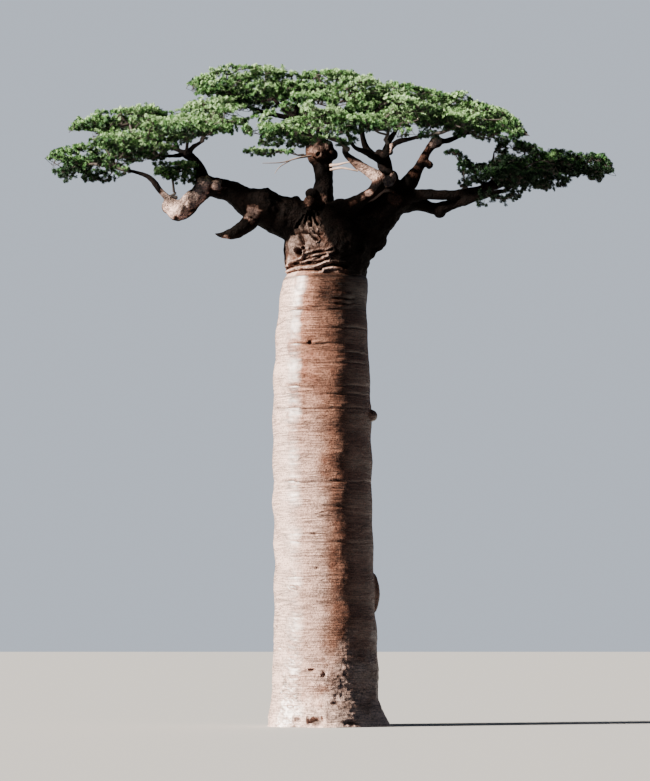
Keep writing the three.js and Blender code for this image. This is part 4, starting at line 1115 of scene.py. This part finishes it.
# Twig tips that fill the corners between cushions.
MORE_TIPS = {
    "front_mid_leaves": [
        (0.12, -3.6, 15.42), (0.35, -3.3, 15.4), (0.62, -3.5, 15.4), (0.25, -3.8, 15.6),
        (0.5, -3.9, 15.62), (0.75, -3.7, 15.58), (-1.75, -3.4, 15.44), (-1.45, -3.6, 15.4),
        (-1.15, -3.4, 15.38), (-1.3, -3.0, 15.42), (-1.6, -2.9, 15.44), (-0.9, -3.2, 15.36),
        (-1.7, -3.6, 15.95), (-1.5, -3.7, 16.05), (-1.6, -3.3, 15.85),
    ],
    "left_inner_leaves": [
        (-3.5, 0.1, 16.9), (-3.35, -0.1, 16.92), (-3.2, 0.2, 16.9), (-4.1, 0.2, 16.5),
        (-3.9, 0.0, 16.52),
    ],
    "top_right_leaves": [(1.05, 0.2, 17.62), (1.25, 0.3, 17.52), (1.1, -0.1, 17.58)],
    "right_top_leaves": [
        (3.85, 0.2, 17.0), (3.95, 0.0, 16.94), (3.5, 0.2, 17.15), (3.75, 0.0, 17.15), (3.6, -0.3, 17.1),
    ],
    "right_wisp": [
        (3.72, -0.4, 14.98), (3.74, -0.5, 14.78), (3.95, -0.4, 14.82), (3.9, -0.4, 15.05),
        (3.52, -0.4, 15.54), (3.62, -0.5, 15.5),
    ],
    "top_left_leaves": [
        (-3.2, 0.3, 17.7), (-2.3, 0.2, 17.66), (-2.15, 0.4, 17.7), (-2.4, 0.0, 17.6), (-3.5, 0.2, 17.62),
        (-3.25, 0.5, 17.75), (-3.0, 0.0, 17.8), (-3.35, -0.2, 17.55), (-2.75, 0.4, 17.85),
        (-3.1, 0.3, 17.7),
    ],
    "top_mid_leaves": [
        (-1.35, 0.3, 17.86), (-1.25, 0.0, 17.8), (0.15, 0.3, 17.4), (0.3, 0.0, 17.35),
        (0.22, 0.5, 17.45), (-1.15, 0.3, 16.88), (-1.1, 0.0, 16.92), (-1.2, 0.4, 17.75),
        (-0.95, 0.0, 17.72), (-0.7, 0.5, 17.75), (-0.5, 0.1, 17.7), (-1.35, 0.0, 17.7),
    ],
    "left_mid_leaves": [
        (-6.5, 0.5, 16.5), (-6.35, 0.3, 16.52), (-6.6, 0.3, 16.38), (-4.68, 0.5, 16.72),
        (-4.6, 0.3, 16.66), (-6.65, 0.4, 16.45), (-6.45, 0.7, 16.55), (-6.2, 0.3, 16.6),
        (-6.8, 0.6, 16.35), (-4.75, 0.5, 16.85), (-4.9, 0.3, 16.85),
    ],
    "left_back_leaves": [(-4.3, 2.2, 17.05), (-4.1, 2.4, 17.12), (-3.9, 2.2, 17.2), (-3.6, 2.4, 17.25)],
    "front_right_leaves": [(2.0, -4.2, 15.48), (2.3, -4.0, 15.52), (1.85, -3.8, 15.48)],
    "front_far_right_leaves": [
        (4.0, -2.7, 15.66), (4.3, -2.6, 15.66), (4.6, -2.5, 15.66), (4.85, -2.7, 15.68),
        (5.05, -2.6, 15.74), (2.4, -2.9, 15.66), (2.6, -2.7, 15.66), (2.8, -3.0, 15.68),
    ],
    "left_low_leaves": [
        (-7.4, 0.1, 15.55), (-7.15, -0.2, 15.58), (-6.9, 0.2, 15.6), (-6.65, -0.2, 15.62),
        (-6.4, 0.2, 15.6), (-7.3, 0.3, 15.6), (-7.0, 0.1, 15.66), (-6.75, -0.3, 15.68),
        (-6.5, 0.1, 15.7), (-7.2, 0.1, 14.95), (-7.0, -0.3, 14.9), (-6.5, -0.3, 14.8), (-6.3, 0.1, 14.9),
        (-6.0, -0.2, 14.85), (-5.7, 0.1, 14.95), (-5.5, -0.2, 15.05),
    ],
    "left_front_leaves": [
        (-5.0, -0.5, 15.34), (-4.85, -0.7, 15.34), (-4.7, -0.8, 15.36), (-4.55, -0.6, 15.38),
        (-4.3, -0.9, 15.46), (-4.6, -1.6, 15.48), (-4.4, -1.3, 15.52), (-4.15, -1.5, 15.58),
        (-4.5, -1.1, 15.46),
    ],
    "left_cluster": [
        (-3.9, -0.4, 14.82), (-3.78, -0.5, 14.78), (-3.7, -0.4, 14.92), (-4.6, -0.6, 15.2),
        (-4.45, -0.3, 15.24), (-4.25, -0.5, 15.26), (-4.0, -0.4, 15.24), (-3.8, -0.5, 15.15),
    ],
    "far_right_upper_leaves": [
        (4.6, 0.3, 15.7), (4.75, 0.1, 15.78), (4.9, 0.2, 15.82), (5.1, 0.0, 15.75), (5.3, 0.3, 15.75),
        (5.45, 0.1, 15.75), (5.6, 0.2, 15.65), (4.2, 0.0, 14.8), (4.0, 0.2, 14.85), (4.35, 0.2, 14.75),
    ],
    "far_right_tip_leaves": [
        (7.45, 0.1, 15.25), (7.55, -0.1, 15.3), (7.6, 0.0, 15.12), (5.85, -0.2, 15.45), (6.1, 0.1, 15.5),
        (6.4, -0.3, 15.5), (6.7, 0.0, 15.5), (7.0, -0.3, 15.48), (7.25, 0.0, 15.46), (7.45, -0.2, 15.35),
        (7.2, -0.2, 14.85), (7.4, 0.0, 14.84), (7.3, 0.2, 14.9),
    ],
    "far_right_low_leaves": [
        (4.9, -1.0, 14.62), (5.2, -1.2, 14.62), (5.0, -1.3, 14.55), (4.25, -1.2, 14.05),
        (4.65, -1.3, 14.18), (4.85, -1.1, 14.2), (4.3, -1.0, 14.3), (5.0, -1.3, 14.3),
        (5.2, -1.1, 14.34), (5.35, -1.4, 14.4), (5.7, -0.8, 14.55), (5.95, -0.7, 14.55),
    ],
}


def tip_places(name, centre, half, count, turn, reach, rise, random):
    """Tips dealt out evenly through a cushion and kept between its lines, as in the source."""
    places = []
    for i in range(count):
        out = reach * math.sqrt((i + 0.5) / count)
        bearing = turn + i * GOLDEN_ANGLE
        share = ((i * GOLDEN_SHARE + 0.3 * next(random)) % 1) ** 0.8
        up = (rise[0] + (rise[1] - rise[0]) * share) * math.sqrt(max(0.06, 1 - out**2.5))
        places.append((out * math.cos(bearing), out * math.sin(bearing), up))
    places = np.array(centre) + np.array(half) * np.array(places)
    x, height, scale = seen_from_front(places)
    kept = np.clip(height, line_at(name, x, 1) + 0.08, line_at(name, x, 2) - 0.2)
    places[:, 2] = VIEWPOINT[2] + (kept - VIEWPOINT[2]) / scale
    return places


def grow(cushion, order):
    """Joints of one cushion: where each is, which joint it grows from, and how many tips it carries."""
    name, bough, centre, half, foot = cushion
    random = seeded(1000 + 17 * order)
    root = np.array(foot if foot else BOUGHS[bough][-1][:3], float)
    middle = np.array(centre, float)
    hub = root + (middle - root) * np.array((0.45, 0.45, 0.8 if name == "front_mid_leaves" else 0.35))
    turn = 2 * math.pi * next(random)
    area = math.pi * half[0] * half[1]
    count = max(8, round(TIPS_PER_AREA * SPARSE.get(name, 1) * area))
    first = tip_places(name, centre, half, max(3, round(area)), turn, 0.6, (-0.4, 0.2), random)
    fine = tip_places(name, centre, half, count, turn, TIP_REACH, TIP_RISE, random)
    fine = np.array(list(fine) + MORE_TIPS.get(name, []))
    at = [root, hub]
    grown_from = [-1, 0]
    for group in (first, fine):
        for tip in sorted(group, key=lambda place: np.linalg.norm(place - hub)):
            steps = np.linalg.norm(np.array(at[1:]) - tip, axis=1)
            grown_from.append(1 + int(np.argmin(steps)))
            at.append(tip)
    load = np.zeros(len(at))
    for i in range(2 + len(first), len(at)):
        j = i
        while j >= 0:
            load[j] += 1
            j = grown_from[j]
    return np.array(at), np.array(grown_from), load, 2 + len(first)


def unit(vectors):
    return vectors / np.maximum(np.linalg.norm(vectors, axis=1, keepdims=True), 1e-9)


def sticks(starts, ends, thick, thin, sides, bow=0.0, seed=0):
    """Tapering twigs from starts to ends, bent at the middle if bow is given, as corners and faces."""
    length = np.linalg.norm(ends - starts, axis=1, keepdims=True)
    along = unit(ends - starts)
    helper = np.where(np.abs(along[:, 2:3]) > 0.9, np.array([[1.0, 0, 0]]), UP[None, :])
    across = unit(np.cross(along, helper))
    other = np.cross(along, across)
    rings = [(0.0, thick), (1.0, thin)]
    if bow:
        rings.insert(1, (0.5, (thick + thin) / 2))
    corners = []
    for share, radius in rings:
        centre = starts + (ends - starts) * share
        if share == 0.5:
            side = lumps(starts * 3.1, 0.5, seed)[:, None] * across
            side = side + lumps(ends * 2.7, 0.5, seed + 1)[:, None] * other
            centre = centre + bow * length * side
        for k in range(sides):
            angle = 2 * math.pi * k / sides
            corners.append(centre + radius[:, None] * (math.cos(angle) * across + math.sin(angle) * other))
    corners = np.stack(corners, axis=1)
    faces = []
    for ring in range(len(rings) - 1):
        for k in range(sides):
            a, b = ring * sides + k, ring * sides + (k + 1) % sides
            faces.append((a, b, b + sides, a + sides))
    offsets = np.arange(len(starts))[:, None, None] * corners.shape[1]
    return corners.reshape(-1, 3), (np.array(faces)[None] + offsets).reshape(-1, 4)


def leaf_blade():
    """One palmate leaf lying flat: five leaflets, widest past the middle. Its reach is 1."""
    corners = []
    faces = []
    leaflets = ((-84, 0.72, 0.1), (-42, 0.92, -0.12), (2, 1.0, 0.08), (44, 0.9, -0.06), (86, 0.74, 0.14))
    for k, (turn, length, tilt) in enumerate(leaflets):
        c, s = math.cos(math.radians(turn)), math.sin(math.radians(turn))
        base = len(corners)
        lean = 1 if k % 2 else -1
        outline = ((0.0, 0.0, 0.0), (0.58, -0.27 * lean, 0.08), (1.0, 0.11 * lean, tilt - 0.12))
        for forward, side, rise in outline:
            x, y = forward * length, side * length
            corners.append((c * x - s * y, s * x + c * y, rise * length))
        faces.append((base, base + 1, base + 2) if lean > 0 else (base, base + 2, base + 1))
    return np.array(corners), np.array(faces)


def own_stem(foot, hub):
    """The crooked stem of a small tuft that grows straight from a thick limb."""
    along = np.linspace(0, 1, 6)[:, None]
    line = foot + along * (hub - foot)
    line += 0.1 * np.sin(math.pi * along) * np.array([(1, 0, 0.4), (-1.2, 0.3, 0)] * 3)
    girths = np.linspace(0.05, 0.03, 6)
    return sticks(line[:-1], line[1:], girths[:-1], girths[1:], 6)


def shoots_on(tips, cushion, order, random):
    """Start, end and heading of each shoot, and which ones stay inside the cushion and out of the gaps."""
    name, _, centre, half, _ = cushion
    count = len(tips) * SHOOTS_PER_TIP
    outward = unit(tips - (np.array(centre) - (0, 0, 0.8 * half[2])))
    start = np.repeat(tips, SHOOTS_PER_TIP, axis=0)
    spin = (np.arange(count) * GOLDEN_ANGLE + FULL_TURN * random.random(count))[:, None]
    level = np.column_stack((np.cos(spin), np.sin(spin), np.zeros(count)))
    climb = (random.random(count)[:, None] * 1.3 - 0.35) * UP
    heading = unit(0.45 * np.repeat(outward, SHOOTS_PER_TIP, axis=0) + 0.85 * level + climb)
    end = start + heading * (SHOOT_LENGTH * (0.55 + 0.9 * random.random(count)))[:, None]

    depth = np.linalg.norm((end - np.array(centre)) / np.array(half), axis=1)
    depth = depth + 0.1 * lumps(end, 0.3, 40 + order)
    x, height, _ = seen_from_front(end)
    ragged = 0.07 * lumps(end, 0.28, 60)
    keep = (depth < LOOSE.get(name, 1.15)) & (height < line_at(name, x, 2) - 0.13 + ragged)
    keep &= height > line_at(name, x, 1) - 0.03 + ragged
    keep &= ~open_to_sky(end, 0.07) & ~shades_pale_bough(end)
    low, high = np.array(cad_box[0]), np.array(cad_box[1])
    keep &= ((end > low + 0.02) & (end < high - 0.02)).all(axis=1)
    return start, end, heading, keep


def leaves_on(end, heading, random):
    """The leaves of each shoot, spread round its end, as corners and faces."""
    count = len(end) * LEAVES_PER_SHOOT
    axis = np.repeat(heading, LEAVES_PER_SHOOT, axis=0)
    side = unit(np.cross(axis, UP + 0.01))
    other = np.cross(axis, side)
    spin = np.tile(np.arange(LEAVES_PER_SHOOT) * 2 * math.pi / LEAVES_PER_SHOOT, len(end))
    spin = spin + np.repeat(FULL_TURN * random.random(len(end)), LEAVES_PER_SHOOT)
    spin = (spin + 0.5 * random.random(count))[:, None]
    around = np.cos(spin) * side + np.sin(spin) * other
    spread = (0.7 + 0.6 * random.random(count))[:, None]
    forward = unit(np.cos(spread) * axis + np.sin(spread) * around - 0.1 * UP)
    face = np.sin(spread) * axis - np.cos(spread) * around
    face = unit(face + 0.55 * UP + 0.9 * (random.random((count, 3)) - 0.5))
    across = unit(np.cross(face, forward))
    size = LEAF_RADIUS * (0.72 + 0.5 * random.random(count))[:, None]
    set_back = (0.06 * random.random(count))[:, None]
    base = np.repeat(end, LEAVES_PER_SHOOT, axis=0) + 0.15 * size * forward - set_back * axis
    frames = np.stack((forward, across, np.cross(forward, across)), axis=1) * size[:, :, None]
    blade, blade_faces = leaf_blade()
    corners = base[:, None, :] + blade @ frames
    faces = blade_faces[None] + np.arange(count)[:, None, None] * len(blade)
    return corners.reshape(-1, 3), faces.reshape(-1, 3)


def tints_of(cushion, end, heading, random):
    """The tint of each shoot's spray, from 0 for the deepest: painted light and shade, lighter high in the
    cushion and facing up, with some random tone.
    """
    name, _, centre, half, _ = cushion
    height = (end[:, 2] - centre[2]) / half[2]
    light = 0.36 + 0.3 * height + 0.5 * heading[:, 2] + 0.5 * (random.random(len(end)) - 0.5)
    light = light + 0.25 * lumps(end, 0.5, 77) + 0.05
    # Painted shade for the cushions in shade.
    for group, shade in SHADED.items():
        if name.startswith(group):
            light = light - shade
    return np.clip((light * LEAF_TINTS).astype(int), 0, LEAF_TINTS - 1)


def foliage(cushion, order):
    """Twigs, shoots and leaves of one cushion, as arrays."""
    _, bough, _, _, foot = cushion
    at, grown_from, load, first_tip = grow(cushion, order)
    random = np.random.default_rng(500 + order)
    start, end, heading, keep = shoots_on(at[first_tip:], cushion, order, random)

    stem = 0.04 if foot else BOUGHS[bough][-1][3]
    thick = np.minimum(TWIG_TIP * np.sqrt(np.maximum(load, 1)) * 1.1, stem)
    leafy = keep.reshape(-1, SHOOTS_PER_TIP).any(axis=1)
    grown = np.arange(2 if foot else 1, len(at))
    grown = grown[(grown < first_tip) | leafy[np.maximum(grown - first_tip, 0)]]
    twigs = [own_stem(at[0], at[1])] if foot else []
    twigs.append(sticks(at[grown_from[grown]], at[grown], thick[grown], thick[grown] * 0.75, 5, 0.1, order))
    start, end, heading = start[keep], end[keep], heading[keep]
    twigs.append(sticks(start, end, *(radius * np.ones(len(start)) for radius in SHOOT_THICKNESS), 3))

    corners, faces = leaves_on(end, heading, random)
    tint = tints_of(cushion, end, heading, random)
    return twigs, corners, faces, np.repeat(tint, len(faces) // len(end))


def joined(parts):
    """Corner and face arrays run together."""
    corners, faces, start = [], [], 0
    for part_corners, part_faces in parts:
        corners.append(part_corners)
        faces.append(part_faces + start)
        start += len(part_corners)
    return np.vstack(corners), np.vstack(faces)


# The cushions that are joined into each piece of the crown.
CROWN_PARTS = {
    "left": ("left_low_leaves", "left_mid_leaves", "left_front_leaves"),
    "left_back": (
        "left_back_leaves",
        "left_inner_leaves",
        "left_cluster",
        "column_wisp",
        "back_left_leaves",
    ),
    "top": ("top_left_leaves", "top_mid_leaves", "top_front_leaves", "top_right_leaves"),
    "front": ("front_left_leaves", "front_mid_leaves", "front_right_leaves"),
    "right_front": ("front_far_right_leaves", "right_top_leaves"),
    "right_back": ("back_mid_leaves", "back_right_leaves", "back_far_right_leaves"),
    "far_right": (
        "far_right_upper_leaves",
        "far_right_tip_leaves",
        "far_right_low_leaves",
        "far_right_back_leaves",
        "right_wisp",
    ),
}


def crown(twig_finish, tints):
    """Grows every cushion and joins them, leaves and twigs apart, into the pieces of CROWN_PARTS."""
    twigs, leaves, slots = {}, {}, {}
    for order, cushion in enumerate(CUSHIONS):
        part = next(key for key, names in CROWN_PARTS.items() if cushion[0] in names)
        made, corners, faces, tint = foliage(cushion, order)
        twigs.setdefault(part, []).extend(made)
        leaves.setdefault(part, []).append((corners, faces))
        slots.setdefault(part, []).append(tint)
    for part, names in CROWN_PARTS.items():
        corners, faces = joined(leaves[part])
        piece = mesh_from(part + "_foliage", corners, faces, np.concatenate(slots[part]), tints)
        finish_piece(piece, None, names)
        corners, faces = joined(twigs[part])
        finish_piece(mesh_from(part + "_twigs", corners, faces, None, [twig_finish]), None, None)


def dry_twigs(material):
    rows = [crooked(smooth_path(path, 0.05), 70 + i) for i, path in enumerate(DRY_TWIGS)]
    return finish_piece(limb_splines("dry_twigs", rows, 1), [material], None)


def sun_light(name, strength, softness, colour, comes_from):
    lamp = bpy.data.lights.new(name, "SUN")
    lamp.energy = strength
    lamp.angle = math.radians(softness)
    lamp.color = colour
    light = bpy.data.objects.new(name, lamp)
    light.rotation_euler = Vector(comes_from).to_track_quat("Z", "Y").to_euler()
    bpy.context.scene.collection.objects.link(light)
    return light


def studio():
    """Pale floor and backdrop, a key light from the left, a weak rim light and the camera."""
    bpy.ops.mesh.primitive_plane_add(size=900.0)
    floor = bpy.context.active_object
    floor.name = "floor"
    material, shader = new_material("pale floor")
    shader.inputs["Base Color"].default_value = (0.36, 0.355, 0.345, 1.0)
    shader.inputs["Roughness"].default_value = 0.9
    floor.data.materials.append(material)
    floor.visible_diffuse = False

    world = bpy.data.worlds.new("studio")
    bpy.context.scene.world = world
    world.use_nodes = True
    background = world.node_tree.nodes["Background"]
    background.inputs["Color"].default_value = (0.62, 0.75, 1.0, 1.0)
    background.inputs["Strength"].default_value = 0.095
    backdrop = world.node_tree.nodes.new("ShaderNodeBackground")
    backdrop.inputs["Color"].default_value = (0.72, 0.8, 0.92, 1.0)
    backdrop.inputs["Strength"].default_value = 0.8
    either = world.node_tree.nodes.new("ShaderNodeMixShader")
    path = world.node_tree.nodes.new("ShaderNodeLightPath")
    world.node_tree.links.new(path.outputs["Is Camera Ray"], either.inputs[0])
    world.node_tree.links.new(background.outputs[0], either.inputs[1])
    world.node_tree.links.new(backdrop.outputs[0], either.inputs[2])
    world.node_tree.links.new(either.outputs[0], world.node_tree.nodes["World Output"].inputs["Surface"])

    sun_light("key light", 24.0, 8, (1.0, 0.92, 0.82), SUN_FROM)
    rim = sun_light("rim light", 0.25, 20, (0.78, 0.88, 1.0), (0.8, 0.5, 0.35))
    rim.visible_glossy = False

    camera = bpy.data.cameras.new("camera")
    camera.lens = CAMERA_LENS
    camera.sensor_width = 36.0
    camera.clip_start = 1.0
    camera.clip_end = 3000.0
    viewer = bpy.data.objects.new("camera", camera)
    viewer.location = VIEWPOINT
    viewer.rotation_euler = (math.radians(90 + CAMERA_TILT), 0.0, 0.0)
    bpy.context.scene.collection.objects.link(viewer)
    bpy.context.scene.camera = viewer


bark = bark_material(bark_pattern_group())
# Leaf tints, one leaf colour in painted shade and painted light, from the deepest to the sunlit.
leaf_tints = [
    leaf_material("deep leaf", (0.0085, 0.029, 0.0095), 0.55),
    leaf_material("shaded leaf", (0.027, 0.083, 0.0215), 0.52),
    leaf_material("green leaf", (0.073, 0.172, 0.047), 0.5),
    leaf_material("light leaf", (0.152, 0.285, 0.1), 0.48),
    leaf_material("sunlit leaf", (0.28, 0.43, 0.205), 0.45),
]
trunk_bark(bark)
bough_bark(bark)
crown(twig_material("twig bark", (0.035, 0.023, 0.017)), leaf_tints)
dry_twigs(twig_material("dry twig", (0.36, 0.25, 0.2)))
studio()
